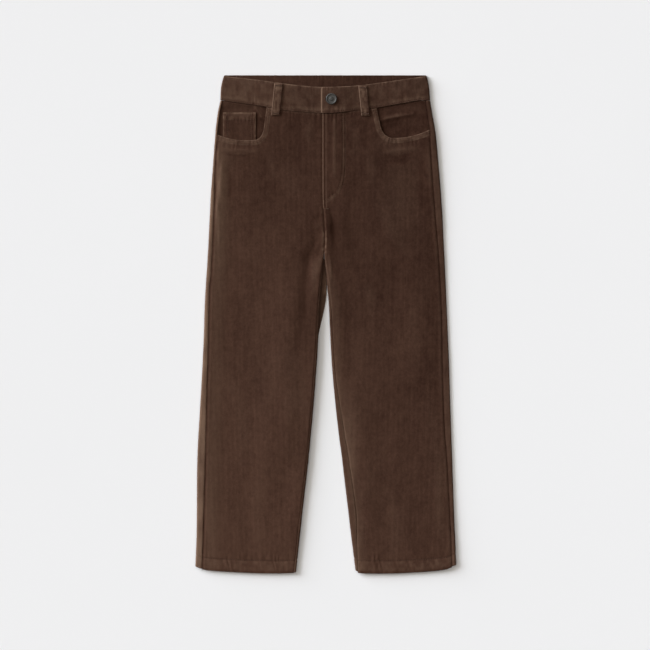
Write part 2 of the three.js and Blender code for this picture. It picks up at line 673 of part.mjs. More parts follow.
function waistband(material) {
  const stations = bandStations();
  const last = stations.length - 1;
  const plain = loft('waistband', material, stations.map((station, i) => bandRing(station, last - i)));
  const radius = BUTTONHOLE.width / 2;
  const slot = new THREE.Shape();
  slot.absarc(BUTTONHOLE.to - radius, 0, radius, -Math.PI / 2, Math.PI / 2);
  slot.absarc(BUTTONHOLE.from + radius, 0, radius, Math.PI / 2, (3 * Math.PI) / 2);
  const through = { depth: BAND + GAP, bevelEnabled: false, curveSegments: 6 };
  const cutter = new THREE.ExtrudeGeometry(slot, through);
  cutter.translate(BUTTON.x, y(BUTTON.down), UNDER_FACE + GAP / 2);
  const body = manifoldOf(plain.geometry).subtract(manifoldOf(cutter));
  plain.geometry = geometryOf(body);
  return plain;
}

function manifoldOf(geometry) {
  const position = geometry.getAttribute('position');
  const seen = new Map();
  const vertProperties = [];
  const remap = [];
  for (let i = 0; i < position.count; i += 1) {
    const point = [position.getX(i), position.getY(i), position.getZ(i)];
    const key = point.map((v) => Math.round(v * 1e4)).join();
    if (!seen.has(key)) {
      seen.set(key, vertProperties.length / 3);
      vertProperties.push(...point);
    }
    remap.push(seen.get(key));
  }
  const index = geometry.index ? [...geometry.index.array] : [...Array(position.count).keys()];
  const triVerts = [];
  for (let k = 0; k < index.length; k += 3) {
    const corners = [remap[index[k]], remap[index[k + 1]], remap[index[k + 2]]];
    if (new Set(corners).size === 3) triVerts.push(...corners);
  }
  return new wasm.Manifold(
    new wasm.Mesh({
      numProp: 3,
      vertProperties: new Float32Array(vertProperties),
      triVerts: new Uint32Array(triVerts),
    }),
  );
}

function geometryOf(manifold) {
  const { vertProperties, triVerts } = manifold.getMesh();
  const geometry = new THREE.BufferGeometry();
  geometry.setAttribute('position', new THREE.Float32BufferAttribute(vertProperties, 3));
  geometry.setIndex([...triVerts]);
  geometry.computeVertexNormals();
  return geometry;
}

// A belt loop on the front: its two ends are turned under and sewn down, and it bows between them.
const FRONT_LOOPS = {
  right: { x: -68.4, toX: -72.9 },
  left: { x: 53.4, toX: 57.7 },
};
const LOOP_SECTIONS = [
  { share: 0, lift: 0, thick: 1.4 },
  { share: 0.03, lift: 0, thick: 2.2 },
  { share: 0.16, lift: 0, thick: 2.2 },
  { share: 0.2, lift: 0.9, thick: LOOP_CLOTH },
  { share: 0.5, lift: 1.5, thick: LOOP_CLOTH },
  { share: 0.8, lift: 1.1, thick: LOOP_CLOTH },
  { share: 0.85, lift: 0.4, thick: 2.2 },
  { share: 0.97, lift: 0, thick: 2.2 },
  { share: 1, lift: 0, thick: 1.4 },
];
const LOOP_TOP = 1.2; // from the band's top edge down to the loop's
const LOOP_TAIL = 7.5; // how far the loop runs on below the band
const LEAVES_BAND = { from: 0.84, to: 0.96 }; // share of its length where it steps down to the front panel
const STEP_DOWN = 0.6; // the most that it can step down there
const LOOP_ROUND = { across: 0.6, up: 0.35 }; // the rounding of its long edges

function frontLoop(name, material) {
  const leg = LEGS[name];
  const { x, toX } = FRONT_LOOPS[name];
  const start = bandTop(x) + LOOP_TOP;
  const end = bandBottom(toX) + LOOP_TAIL;
  const half = LOOP_WIDTH / 2;
  const flat = half - LOOP_ROUND.across;
  const rings = LOOP_SECTIONS.map(({ share, lift, thick }) => {
    const middle = mix(x, toX, share);
    const down = mix(start, end, share);
    const panel = Math.max(faceHeight(leg, middle, down), BAND_HEIGHT - STEP_DOWN);
    const off = ease((share - LEAVES_BAND.from) / (LEAVES_BAND.to - LEAVES_BAND.from));
    const z = mix(BAND_HEIGHT, panel, off) + GAP + lift;
    const top = z + thick;
    return [
      [-half, z + LOOP_ROUND.up], [-flat, z], [flat, z], [half, z + LOOP_ROUND.up],
      [half, top - LOOP_ROUND.up], [flat, top], [-flat, top], [-half, top - LOOP_ROUND.up],
    ].map(([across, height]) => new THREE.Vector3(middle + across, y(down), height));
  });
  return loft(`belt_loop_front_${name}`, material, rings);
}

// A back loop, pressed flush into the underside.
const BACK_LOOP_ENDS = [
  { short: 0.6, thin: 0.25 },
  { short: 1.2, thin: 0 },
];

function backLoop(name, material) {
  const half = LOOP_WIDTH / 2;
  const upper = BACK_LOOP_ENDS.map(({ short, thin }) => ({ down: short, thin }));
  const lower = BACK_LOOP_ENDS.map(({ short, thin }) => ({ down: BACK_BAND.bottom - short, thin }));
  const rings = [...upper, ...lower.toReversed()].map(({ down, thin }) => {
    const [low, high] = [thin, LOOP_RECESS - GAP - thin];
    return [[-half, low], [half, low], [half, high], [-half, high]].map(
      ([across, z]) => new THREE.Vector3(BACK_LOOPS[name] + across, y(down), z),
    );
  });
  return loft(`belt_loop_back_${name}`, material, rings);
}

// The shank button: a rimmed cap with a raised middle, and the shank down through the buttonhole.
const BUTTON_PROFILE = [
  { r: 0, z: UNDER_FACE + GAP },
  { r: BUTTON.shank, z: UNDER_FACE + GAP },
  { r: BUTTON.shank, z: BUTTON.capBase },
  { r: BUTTON_RADIUS - 1, z: BUTTON.capBase },
  { r: BUTTON_RADIUS, z: BUTTON.capBase + 0.9 },
  { r: BUTTON_RADIUS - 0.2, z: BUTTON.capBase + 1.8 },
  { r: BUTTON_RADIUS - 1.0, z: BUTTON.capBase + BUTTON.cap },
  { r: BUTTON_RADIUS - 2.0, z: BUTTON.capBase + 1.9 },
  { r: BUTTON_RADIUS - 3.2, z: BUTTON.capBase + 1.6 },
  { r: 2.4, z: BUTTON.capBase + 1.7 },
  { r: 1.7, z: BUTTON.capBase + 2.2 },
  { r: 0, z: BUTTON.capBase + 2.3 },
];

function button(material) {
  const profile = BUTTON_PROFILE.map(({ r, z }) => new THREE.Vector2(r, z));
  const geometry = new THREE.LatheGeometry(profile, 24);
  geometry.rotateX(Math.PI / 2);
  geometry.translate(BUTTON.x, y(BUTTON.down), 0);
  geometry.computeVertexNormals();
  const mesh = new THREE.Mesh(geometry, material);
  mesh.name = 'button';
  return mesh;
}

// Materials
const cloth = (color) => new THREE.MeshStandardMaterial({ color, roughness: 0.95, metalness: 0 });
const corduroy = cloth('#4b372d');
const bandCloth = cloth('#54402f');
const facingCloth = cloth('#45332a');
const loopCloth = cloth('#5a4538');
const gunmetal = new THREE.MeshStandardMaterial({ color: '#4a4d4e', roughness: 0.45, metalness: 0.85 });

const trousers = new THREE.Group();
trousers.name = 'corduroy_trousers';
for (const leg of Object.values(LEGS)) {
  trousers.add(frontPanel(leg, corduroy), backPanel(leg, corduroy), pocketFacing(leg, facingCloth));
}
trousers.add(coinPocket(bandCloth), waistband(bandCloth));
for (const name of Object.keys(FRONT_LOOPS)) trousers.add(frontLoop(name, loopCloth));
for (const name of Object.keys(BACK_LOOPS)) trousers.add(backLoop(name, loopCloth));
trousers.add(button(gunmetal));

export default trousers;
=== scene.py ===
# %% [markdown]
# # Corduroy trousers, laid flat
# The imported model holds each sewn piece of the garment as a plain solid, at its true size and
# place. This lesson dresses those solids. Each piece of cloth is made again as a thin shell on the
# same form, fine enough to carry the ribs of the corduroy, its seams, its stitches and its small
# creases.

import json
import math

import bpy
import numpy as np
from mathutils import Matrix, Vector

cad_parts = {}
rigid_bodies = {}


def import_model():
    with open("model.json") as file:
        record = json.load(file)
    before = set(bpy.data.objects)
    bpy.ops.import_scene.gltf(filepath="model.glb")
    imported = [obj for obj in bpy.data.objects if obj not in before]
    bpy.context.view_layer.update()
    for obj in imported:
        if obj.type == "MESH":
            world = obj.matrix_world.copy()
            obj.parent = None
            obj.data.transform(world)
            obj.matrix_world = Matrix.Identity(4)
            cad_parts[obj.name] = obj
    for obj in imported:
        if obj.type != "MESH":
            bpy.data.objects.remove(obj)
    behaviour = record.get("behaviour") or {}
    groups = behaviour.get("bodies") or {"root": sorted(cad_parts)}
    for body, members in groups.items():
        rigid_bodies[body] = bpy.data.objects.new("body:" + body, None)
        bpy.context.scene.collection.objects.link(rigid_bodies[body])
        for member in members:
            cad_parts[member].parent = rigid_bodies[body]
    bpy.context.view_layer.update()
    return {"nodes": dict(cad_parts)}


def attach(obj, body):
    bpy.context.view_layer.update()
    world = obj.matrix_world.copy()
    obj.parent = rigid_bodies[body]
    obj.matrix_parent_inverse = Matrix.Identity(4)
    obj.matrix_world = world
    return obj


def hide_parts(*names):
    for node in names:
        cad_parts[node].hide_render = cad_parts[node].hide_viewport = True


for leftover in list(bpy.data.objects):
    bpy.data.objects.remove(leftover)
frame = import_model()
print("packed nodes:", len(frame["nodes"]))

# %% [markdown]
# ## The garment's own sizes
# A pattern cutter works from a size table. The same tables shaped the solids, so the shells that
# are made from them land exactly on those solids. All of them are in millimetres. "down" is the
# distance below the waist's highest edge, and right and left are the wearer's, so the right leg
# lies on the -X side.

# %% Small sums that every piece uses
MM = 0.001


def clamp(t):
    return np.clip(t, 0.0, 1.0)


def ease(t):
    t = clamp(t)
    return t * t * (3 - 2 * t)


def mix(a, b, t):
    return a + (b - a) * t


def bump(distance, width):
    """A soft ridge: 1 on its line, and nearly 0 at two widths from it."""
    return np.exp(-((distance / width) ** 2))


def rounded(distance, radius):
    """How far the round of an edge lies below the face, as a share of its radius."""
    return 1 - np.sqrt(clamp(1 - (1 - clamp(distance / radius)) ** 2))


def in_space(x, down, z):
    """Points in space from places on the garment, all in millimetres."""
    return np.stack(np.broadcast_arrays(x, LENGTH / 2 - down, z), -1)


def straight(x, way=1.0):
    """The way each point faces: straight up, or straight down where way is -1."""
    return np.broadcast_to((0.0, 0.0, way), np.shape(x) + (3,))


def table(columns, *rows):
    return dict(zip(columns.split(), np.array(rows, float).T))


def curve(sizes, at, value):
    """A smooth curve through one column of a size table, read against another column."""
    xs, ys = sizes[at], sizes[value]
    spots = np.arange(len(xs))
    before, after = np.maximum(spots - 1, 0), np.minimum(spots + 1, len(xs) - 1)
    slopes = (ys[after] - ys[before]) / (xs[after] - xs[before])

    def read(t):
        t = np.clip(t, xs[0], xs[-1])
        i = np.clip(np.searchsorted(xs, t, side="right") - 1, 0, len(xs) - 2)
        width = xs[i + 1] - xs[i]
        s = (t - xs[i]) / width
        leave = width * slopes[i] * s * (1 - s) ** 2
        arrive = width * slopes[i + 1] * s * s * (s - 1)
        return mix(ys[i], ys[i + 1], s * s * (3 - 2 * s)) + leave + arrive

    return read


# %% Driving sizes
LENGTH = 722.0
CLOTH = 1.2
FACING = 1.0
BAND = 2.4
HEM_WALL = 2.4
HEM_DEPTH = 18.0
HEM_STEP = 4.0
HEM_TOP = LENGTH - HEM_DEPTH
GAP = 0.3
WAIST_GAP = 0.4
LAYER_GAP = 0.45
CROTCH = 256.0
FRONT_TOP = 55.0
BACK_BAND_BOTTOM = 36.3
LOOP_WIDTH = 12.3

WAISTBAND_EDGES = table(
    "x top bottom",
    (-150, 1.0, 36.3), (-128, 3.5, 40.0), (-92, 7.6, 45.0), (-64, 11.6, 50.5), (-36, 15.0, 53.2),
    (-8, 17.0, 55.0), (16, 16.8, 54.7), (48, 14.7, 50.5), (75, 11.3, 47.3), (108, 6.7, 41.4),
    (134, 2.9, 37.2), (148, 1.2, 36.3),
)
band_top = curve(WAISTBAND_EDGES, "x", "top")
band_bottom = curve(WAISTBAND_EDGES, "x", "bottom")
CENTRE_SEAM = table(
    "down x", (36, -4.6), (168, -4.4), (193, -3.8), (215, -2.2), (240, -1.4), (CROTCH, -2.3)
)
centre_seam = curve(CENTRE_SEAM, "down", "x")
print("waistband dips by", round(float(band_top(-8.0)), 1), "mm at the front")

# %% The two legs
OUTER_RIGHT = table(
    "down outline side height",
    (0, -147.5, 3.0, 5.8), (15, -151.4, 3.0, 5.8), (36, -152.9, 3.0, 5.8), (55, -156.5, 3.0, 5.8),
    (75, -159.0, 2.8, 5.8), (95, -160.6, 2.8, 5.8), (125, -162.9, 3.2, 6.0), (178, -166.7, 5.4, 6.2),
    (265, -171.2, 6.5, 6.2), (320, -174.8, 6.3, 6.2), (401, -177.7, 7.2, 6.2), (464, -181.2, 8.9, 6.2),
    (552, -186.0, 11.6, 6.2), (662, -187.1, 9.7, 6.2), (LENGTH, -189.0, 9.6, 5.8),
)
INNER_RIGHT = table(
    "down edge inseam height",
    (CROTCH, -2.3, 0.6, 3.7), (271, -3.3, 1.0, 5.4), (290, -5.2, 2.0, 7.6), (333, -8.2, 3.2, 9.2),
    (400, -11.9, 3.3, 9.2), (471, -17.0, 3.3, 8.8), (558, -25.0, 3.3, 8.0), (640, -34.5, 3.3, 7.0),
    (LENGTH, -43.0, 3.3, 5.8),
)
HEM_RIGHT = table("in down", (0, 712.5), (7, 715), (19, 717.5), (62, 720.5), (113, LENGTH), (147, 721))
OUTER_LEFT = table(
    "down outline side height",
    (0, 146.4, 7.5, 5.8), (15, 149.4, 7.5, 5.8), (36, 151.5, 7.5, 5.8), (55, 154.4, 7.5, 5.8),
    (80, 158.7, 8.1, 5.8), (100, 161.0, 9.6, 6.0), (181, 167.6, 10.7, 4.6), (263, 172.0, 8.3, 3.6),
    (346, 176.0, 8.1, 3.3), (427, 179.0, 9.7, 3.2), (511, 181.6, 9.6, 3.3), (566, 183.6, 7.4, 3.6),
    (676, 187.6, 6.0, 5.0), (LENGTH, 189.0, 6.0, 5.8),
)
INNER_LEFT = table(
    "down edge inseam height",
    (CROTCH, -2.3, 0.6, 3.9), (271, -1.6, 1.0, 5.0), (290, 0.6, 1.4, 6.2), (333, 4.4, 3.2, 6.4),
    (384, 6.9, 3.6, 5.6), (442, 10.7, 4.4, 5.0), (514, 18.0, 8.4, 4.7), (558, 23.6, 10.0, 4.6),
    (635, 33.0, 10.8, 5.0), (680, 37.9, 7.5, 5.4), (LENGTH, 43.0, 3.4, 5.8),
)
HEM_LEFT = table(
    "in down", (0, 711.5), (8, 713.5), (14, 716), (36, 719), (92, LENGTH), (140, 721.5), (147, 719)
)
# The mouth of each pocket runs from the side seam by these points (x, down) to the waistband.
MOUTH_RIGHT = {"side": 86, "bow": (-135, 96), "turn_out": (-106, 94), "corner": (-92, 94.5),
               "turn_in": (-89.5, 76), "waist": -85.6}
MOUTH_LEFT = {"side": 79, "bow": (125, 91), "turn_out": (99, 91), "corner": (82, 91),
              "turn_in": (78.5, 69), "waist": 74}


class Leg:
    """One side of the garment: where its edges and seams run, read at any level."""

    def __init__(self, name, hand, outer, inner, hem, hem_rise, pocket, mouth):
        self.name, self.hand, self.hem_rise, self.pocket, self.mouth = name, hand, hem_rise, pocket, mouth
        self.outline = curve(outer, "down", "outline")
        self.side_inset = curve(outer, "down", "side")
        self.side_height = curve(outer, "down", "height")
        self.inner_edge = curve(inner, "down", "edge")
        self.inseam_inset = curve(inner, "down", "inseam")
        self.inner_height = curve(inner, "down", "height")
        self.hem_down = curve(hem, "in", "down")

    def inner_x(self, down):
        return np.where(down < CROTCH, centre_seam(down), self.inner_edge(down))


RIGHT = Leg("right", -1, OUTER_RIGHT, INNER_RIGHT, HEM_RIGHT, 0.6, (5.6, -72, 106), MOUTH_RIGHT)
LEFT = Leg("left", 1, OUTER_LEFT, INNER_LEFT, HEM_LEFT, 1.6, (4.9, 63, 104), MOUTH_LEFT)
print("hem width:", round(float(RIGHT.inner_x(LENGTH) - RIGHT.outline(LENGTH))), "mm")

# %% [markdown]
# ## How high the fronts stand
# Cloth that lies on cloth is never flat. The front stands highest where it folds round at the
# sides, over the pockets and on the doubled fly, and it falls into soft troughs where the fabric
# was pulled. One function gives that height everywhere, so the panels and the stitches on them
# agree.

# %% Height of the front panels
FRONT_HEIGHT = table(
    "down height",
    (36, 5.0), (60, 4.7), (110, 4.0), (200, 3.8), (320, 4.1), (620, 4.1), (690, 5.2), (LENGTH, 5.3),
)
front_height = curve(FRONT_HEIGHT, "down", "height")
FOLD_COLUMNS = "x down to_x to_down width rise"
FOLDS = {
    "right": table(
        FOLD_COLUMNS,
        (-14, 226, -25, 268, 7, -0.8), (-25, 268, -39, 400, 9, -0.9), (-16, 268, -22, 350, 5, 0.7),
        (-153, 112, -152, 180, 8, 0.9), (-146, 110, -100, 108, 5, 0.6), (-46, 335, -58, 530, 36, 5.0),
    ),
    "left": table(
        FOLD_COLUMNS,
        (7, 198, 15, 236, 6, -0.7), (22, 205, 34, 290, 9, 0.6), (84, 112, 134, 106, 5, 0.6),
        (92, 124, 120, 122, 5, -0.5), (58, 330, 74, 500, 20, 0.6), (38, 460, 60, 640, 20, 1.8),
        (106, 250, 98, 320, 14, -0.5),
    ),
}
EDGE_REACH, POCKET_FADE, CROTCH_REACH, CURL_LENGTH = 30, 28, 20, 12
FLY = {"width": 30, "end": 178, "rise": 0.8, "fade": 7}


def fold_rise(folds, x, down, narrow=None):
    """Height of all these folds at a place. With narrow set, wide folds count for less."""
    total = np.zeros(np.broadcast(x, down).shape)
    for fx, fd, tx, td, width, rise in zip(*folds.values()):
        dx, dd = tx - fx, td - fd
        share = clamp(((x - fx) * dx + (down - fd) * dd) / (dx * dx + dd * dd))
        away = np.hypot(x - fx - share * dx, down - fd - share * dd)
        weight = 1 if narrow is None else min(1, narrow / width)
        total = total + weight * rise * np.exp(-((away / width) ** 2))
    return total


def fly_share(x, down):
    across = (x - centre_seam(down)) / FLY["width"]
    along = np.maximum(0, (down - FLY["end"] + FLY["width"]) / FLY["width"])
    return 1 - ease((np.hypot(across, along) - 1) * FLY["width"] / FLY["fade"] + 0.5)


def face_height(leg, x, down):
    from_outline = np.abs(x - leg.outline(down))
    from_inner = np.abs(x - leg.inner_x(down))
    height = front_height(down) + fold_rise(FOLDS[leg.name], x, down)
    plateau, inner, floor = leg.pocket
    past = np.hypot(np.maximum(0, leg.hand * (inner - x)), np.maximum(0, down - floor))
    height = mix(height, np.maximum(height, plateau), 1 - ease(past / POCKET_FADE))
    if leg.hand > 0:
        height = height + fly_share(x, down) * FLY["rise"]
    from_side = np.maximum(0, from_outline - leg.side_inset(down))
    height = mix(leg.side_height(down), height, ease(from_side / EDGE_REACH))
    from_inseam = np.maximum(0, from_inner - leg.inseam_inset(down))
    at_inner = mix(leg.inner_height(down), height, ease(from_inseam / EDGE_REACH))
    return mix(height, at_inner, ease((down - CROTCH + CROTCH_REACH) / CROTCH_REACH))


def curl_at(down):
    return ease((down - CROTCH) / CURL_LENGTH)


def wall_at(down):
    return mix(CLOTH, HEM_WALL, ease((down - (HEM_TOP - HEM_STEP)) / HEM_STEP))


def near_hem(down):
    return ease((down - LENGTH) / 82 + 1)


def hem_shift(leg, x, down):
    return (leg.hem_down(np.abs(x - leg.outline(LENGTH))) - LENGTH) * near_hem(down)


print("front over the pocket:", round(float(face_height(RIGHT, -110.0, 90.0)), 2), "mm high")

# %% [markdown]
# ## Unevenness, puckers and creases
# Sewn cloth puckers: the thread is a little shorter than the cloth, which gathers in small ridges
# across the seam. The ridges differ in depth and spacing, so a smooth random curve with a fixed
# seed steers them. Seeded numbers give the same garment on every run.


# %% Smooth random curves and surfaces
def wander(t, seed):
    """A smooth random curve between 0 and 1."""
    stops = np.random.default_rng(seed).random(4096)
    spot = np.floor(t).astype(int)
    return mix(stops[spot % 4096], stops[(spot + 1) % 4096], ease(t - spot))


def uneven(x, y, seed):
    """A smooth random surface between -1 and 1."""
    stops = np.random.default_rng(seed).random((256, 256)) * 2 - 1
    i, j = np.floor(x).astype(int), np.floor(y).astype(int)
    s, t = ease(x - i), ease(y - j)
    near = mix(stops[i % 256, j % 256], stops[(i + 1) % 256, j % 256], s)
    far = mix(stops[i % 256, (j + 1) % 256], stops[(i + 1) % 256, (j + 1) % 256], s)
    return mix(near, far, t)


# Each row: how far the puckers reach, their spacing, their depth, and the number that seeds their unevenness.
PUCKERS = {
    "side seam": (6, 8, 0.2, 21), "inseam": (6, 9, 0.2, 31), "fly rows": (6, 5.5, 0.26, 41),
    "centre seam": (9, 6.5, 0.42, 51), "fly edge": (5, 9, 0.18, 53), "waist seam": (10, 7.5, 0.36, 61),
    "mouth": (4, 5.2, 0.32, 71), "under the mouth": (7, 8, 0.24, 73), "front hem": (12, 10.5, 0.28, 81),
    "above the hem": (7, 9, 0.3, 85), "back side seam": (7, 8, 0.24, 101), "back inseam": (7, 8, 0.24, 111),
    "back hem": (12, 8.5, 0.3, 121), "back waist seam": (8, 8, 0.2, 131), "coin hem": (4, 5, 0.28, 173),
    "coin sides": (3.5, 4.6, 0.24, 175), "band's lower row": (7, 8.5, 0.26, 193),
    "band's upper row": (4, 5.2, 0.2, 195), "belt loop": (2.5, 4.2, 0.1, 201),
}


def puckers(name, distance, along, more=0):
    """Gathers across a seam, by their distance from it and how far along it. More changes the seed."""
    reach, spacing, depth, seed = PUCKERS[name]
    seed = seed + more
    turns = along / spacing + 1.1 * wander(along / 11, seed) + 1.4 * wander(along / 29, seed + 3)
    strength = 0.2 + 1.1 * wander(along / 13, seed + 1) ** 2
    fade = bump(distance, reach * (0.6 + 0.8 * wander(along / 19, seed + 2)))
    return depth * strength * np.cos(2 * np.pi * turns) * fade


RIDGES = "at width size"


def ridges(sizes, distance):
    """The soft ridges and grooves of a table, each at its own distance from a seam."""
    return sum(size * bump(distance - at, width) for at, width, size in zip(*sizes.values()))


def crease_rise(creases, x, down, narrow=None):
    """Height of the listed creases. Each one bends, fades out at both ends and swells unevenly."""
    total = np.zeros(np.broadcast(x, down).shape)
    for number, (fx, fd, tx, td, width, rise) in enumerate(zip(*creases.values())):
        dx, dd = tx - fx, td - fd
        length = math.hypot(dx, dd)
        along = ((x - fx) * dx + (down - fd) * dd) / length
        share = clamp(along / length)
        bend = 0.09 * length * math.sin(2.4 * number + 1) * np.sin(np.pi * share)
        aside = ((x - fx) * dd - (down - fd) * dx) / length - bend
        away = np.hypot(aside, np.maximum(0, along - length) + np.maximum(0, -along))
        swell = np.sin(np.pi * (0.08 + 0.84 * share)) * (0.7 + 0.6 * wander(along / 9 + 40, 300 + number))
        spread = width * (0.75 + 0.5 * wander(along / 14 + 40, 340 + number))
        weight = 1 if narrow is None else min(1, narrow / width)
        total += weight * rise * swell * bump(away, spread)
    return total


class Line:
    """A drawn line on the cloth, (x, down) points, that says how far any point lies from it."""

    def __init__(self, points):
        self.points = np.array(points, float)
        steps = np.linalg.norm(np.diff(self.points, axis=0), axis=1)
        self.along = np.concatenate([[0], np.cumsum(steps)])

    def near(self, x, down, reach):
        """Distance from the line, and how far along it, for the points within reach."""
        distance = np.full(x.shape, 1e3)
        along = np.zeros(x.shape)
        low, high = self.points.min(0) - reach, self.points.max(0) + reach
        close = (x > low[0]) & (x < high[0]) & (down > low[1]) & (down < high[1])
        spots = np.stack([x[close], down[close]], -1)
        best = np.full(len(spots), 1e3)
        where = np.zeros(len(spots))
        for a, b, start in zip(self.points[:-1], self.points[1:], self.along):
            way = b - a
            share = clamp((spots - a) @ way / (way @ way))
            away = np.linalg.norm(spots - a - share[:, None] * way, axis=1)
            nearer = away < best
            best = np.where(nearer, away, best)
            where = np.where(nearer, start + share * np.linalg.norm(way), where)
        distance[close], along[close] = best, where
        return distance, along

    def beside(self, offset, start=0.0, stop=None, step=0.5):
        """Evenly spaced points along a parallel line, offset to the left of the way it runs."""
        stop = self.along[-1] if stop is None else stop
        at = np.linspace(start, stop, max(2, int((stop - start) / step)))
        x, down = (np.interp(at, self.along, self.points[:, k]) for k in (0, 1))
        dx, dd = np.gradient(x), np.gradient(down)
        size = np.hypot(dx, dd)
        return np.stack([x - dd / size * offset, down + dx / size * offset], -1)


def bent(points, steps=14):
    """A smooth line through a few points."""
    points = np.array(points, float)
    ends = np.vstack([2 * points[0] - points[1], points, 2 * points[-1] - points[-2]])
    t = np.linspace(0, 1, steps, endpoint=False)[:, None]
    spans = []
    for a, b, c, d in zip(ends, ends[1:], ends[2:], ends[3:]):
        spans.append(0.5 * (2 * b + (c - a) * t + (2 * a - 5 * b + 4 * c - d) * t**2
                            + (3 * b - a - 3 * c + d) * t**3))
    return Line(np.vstack([*spans, points[-1:]]))


def quadratic(a, b, c, steps=40):
    t = np.linspace(0, 1, steps)[:, None]
    a, b, c = (np.array(p, float) for p in (a, b, c))
    return a * (1 - t) ** 2 + 2 * b * t * (1 - t) + c * t**2


for leg in (RIGHT, LEFT):
    mouth = leg.mouth
    side_x = leg.outline(mouth["side"]) - leg.hand * (leg.side_inset(mouth["side"]) + GAP / 2)
    first = quadratic((side_x, mouth["side"]), mouth["bow"], mouth["turn_out"])
    second = quadratic(mouth["turn_out"], mouth["corner"], mouth["turn_in"])
    top = (mouth["waist"], float(band_bottom(mouth["waist"])) + WAIST_GAP)
    last = np.linspace(mouth["turn_in"], top, 30)
    leg.mouth_line = Line(np.vstack([first, second[1:], last[1:]]))
    print("pocket mouth", leg.name, round(leg.mouth_line.along[-1]), "mm long")


# %% [markdown]
# ## Lines of sewing on the fronts
# The fly is closed by two curved rows of stitching in the shape of a J. Short creases fan out where
# the cloth was pulled: at the crotch, under the pockets, beside the fly. They are drawn one by one,
# each with its own length, width and depth, because no two creases in worn cloth are the same.

# %% The fly's J and the finer creases
FLY_STITCHING = bent([(26.2, 57), (26.6, 90), (26.4, 124), (24.6, 150), (18.5, 168), (8, 178), (-3, 184)])
FLY_ROWS = (-2.1, 2.1)
FINE_CREASES = {
    "right": table(
        FOLD_COLUMNS,
        (-33, 304, -39, 385, 3.8, -0.24), (-22, 262, -31, 300, 2.8, -0.24), (-9, 232, -22, 259, 2.4, -0.4),
        (-8, 250, -17, 292, 3.0, 0.35), (-6, 214, -16, 224, 2.2, 0.3), (-6, 205, -20, 208, 2.2, -0.25),
        (-147, 108, -100, 111, 2.0, 0.35), (-150, 112, -104, 115, 2.2, -0.35), (-138, 118, -108, 116, 2.4, 0.2),
        (-154, 104, -154, 128, 3.0, 0.5), (-151, 126, -153, 182, 4.0, 0.75), (-143, 128, -141, 190, 4.5, -0.35),
        (-155, 176, -151, 214, 3.4, 0.45), (-160, 196, -156, 250, 3.0, 0.3), (-158, 150, -160, 190, 2.2, -0.35),
        (-20, 66, -26, 100, 5, 0.22), (-40, 70, -46, 130, 8, -0.25), (-60, 120, -30, 190, 12, 0.25),
        (-30, 170, -60, 250, 9, -0.22), (-120, 240, -60, 330, 14, 0.25), (-140, 300, -80, 380, 12, -0.2),
        (-150, 420, -120, 560, 10, 0.3), (-60, 430, -70, 600, 12, -0.3), (-168, 560, -160, 690, 7, 0.3),
        (-128, 600, -118, 700, 9, -0.3), (-84, 560, -92, 700, 10, 0.3), (-52, 640, -60, 700, 6, -0.25),
        (-70, 62, -66, 92, 4, -0.25), (-78, 112, -72, 150, 6, 0.25),
    ),
    "left": table(
        FOLD_COLUMNS,
        (5, 194, 9, 226, 3.0, -0.8), (9, 222, 14, 250, 4.0, -0.7), (12, 240, 18, 290, 6.0, -0.5),
        (14, 172, 4, 182, 2.6, 0.5), (9, 160, 15, 178, 2.0, -0.4), (3, 250, 7, 300, 2.6, 0.5),
        (84, 112, 134, 106, 2.4, 0.3), (88, 117, 128, 112, 2.2, -0.25), (92, 123, 118, 119, 2.6, 0.2),
        (150, 100, 152, 160, 6, 0.12), (140, 120, 143, 200, 6, -0.3), (60, 110, 66, 160, 7, 0.25),
        (40, 130, 60, 200, 10, -0.25), (50, 190, 96, 290, 13, -0.35), (74, 180, 120, 270, 12, 0.3),
        (100, 262, 84, 330, 10, -0.3), (56, 300, 68, 342, 9, 0.35), (140, 300, 132, 420, 12, 0.25),
        (110, 420, 122, 600, 12, -0.3), (150, 470, 160, 640, 9, 0.3), (60, 520, 66, 690, 9, -0.3),
        (90, 600, 96, 705, 8, 0.3), (130, 620, 136, 705, 8, -0.25), (168, 560, 172, 690, 6, 0.25),
        (36, 66, 40, 120, 6, 0.22), (64, 60, 60, 96, 5, -0.25),
    ),
}
# Patches painted lighter or darker, mostly painted highlights on bulges and painted shade in troughs: (x, down) of
# the middle, half sizes, and how much lighter or darker.
PAINTED_LIGHT_AND_SHADE_PATCHES = {
    "right": table(
        "x down wide tall tone",
        (-18, 390, 10, 60, -0.2), (-28, 268, 5, 30, -0.22), (-31, 325, 7, 70, -0.28), (-17, 290, 5, 40, 0.14),
        (-62, 305, 28, 62, -0.12), (-157, 160, 13, 62, 0.34), (-158, 250, 10, 50, 0.18),
    ),
    "left": table(
        "x down wide tall tone",
        (26, 236, 20, 38, -0.35), (8, 222, 7, 18, -0.4), (34, 560, 12, 90, 0.2), (108, 172, 30, 72, 0.12),
        (92, 98, 22, 10, 0.1), (73, 712, 1.8, 7, -0.5),
    ),
}


# %% Creases and painted light, and the seams at the side, the inseam and the waist
SIDE_RELIEF = table(RIDGES, (0, 1.1, -0.5), (3.4, 2.2, 0.3))
SIDE_SHADE = table(RIDGES, (0.8, 1.5, -0.6), (11, 12, 0.2))


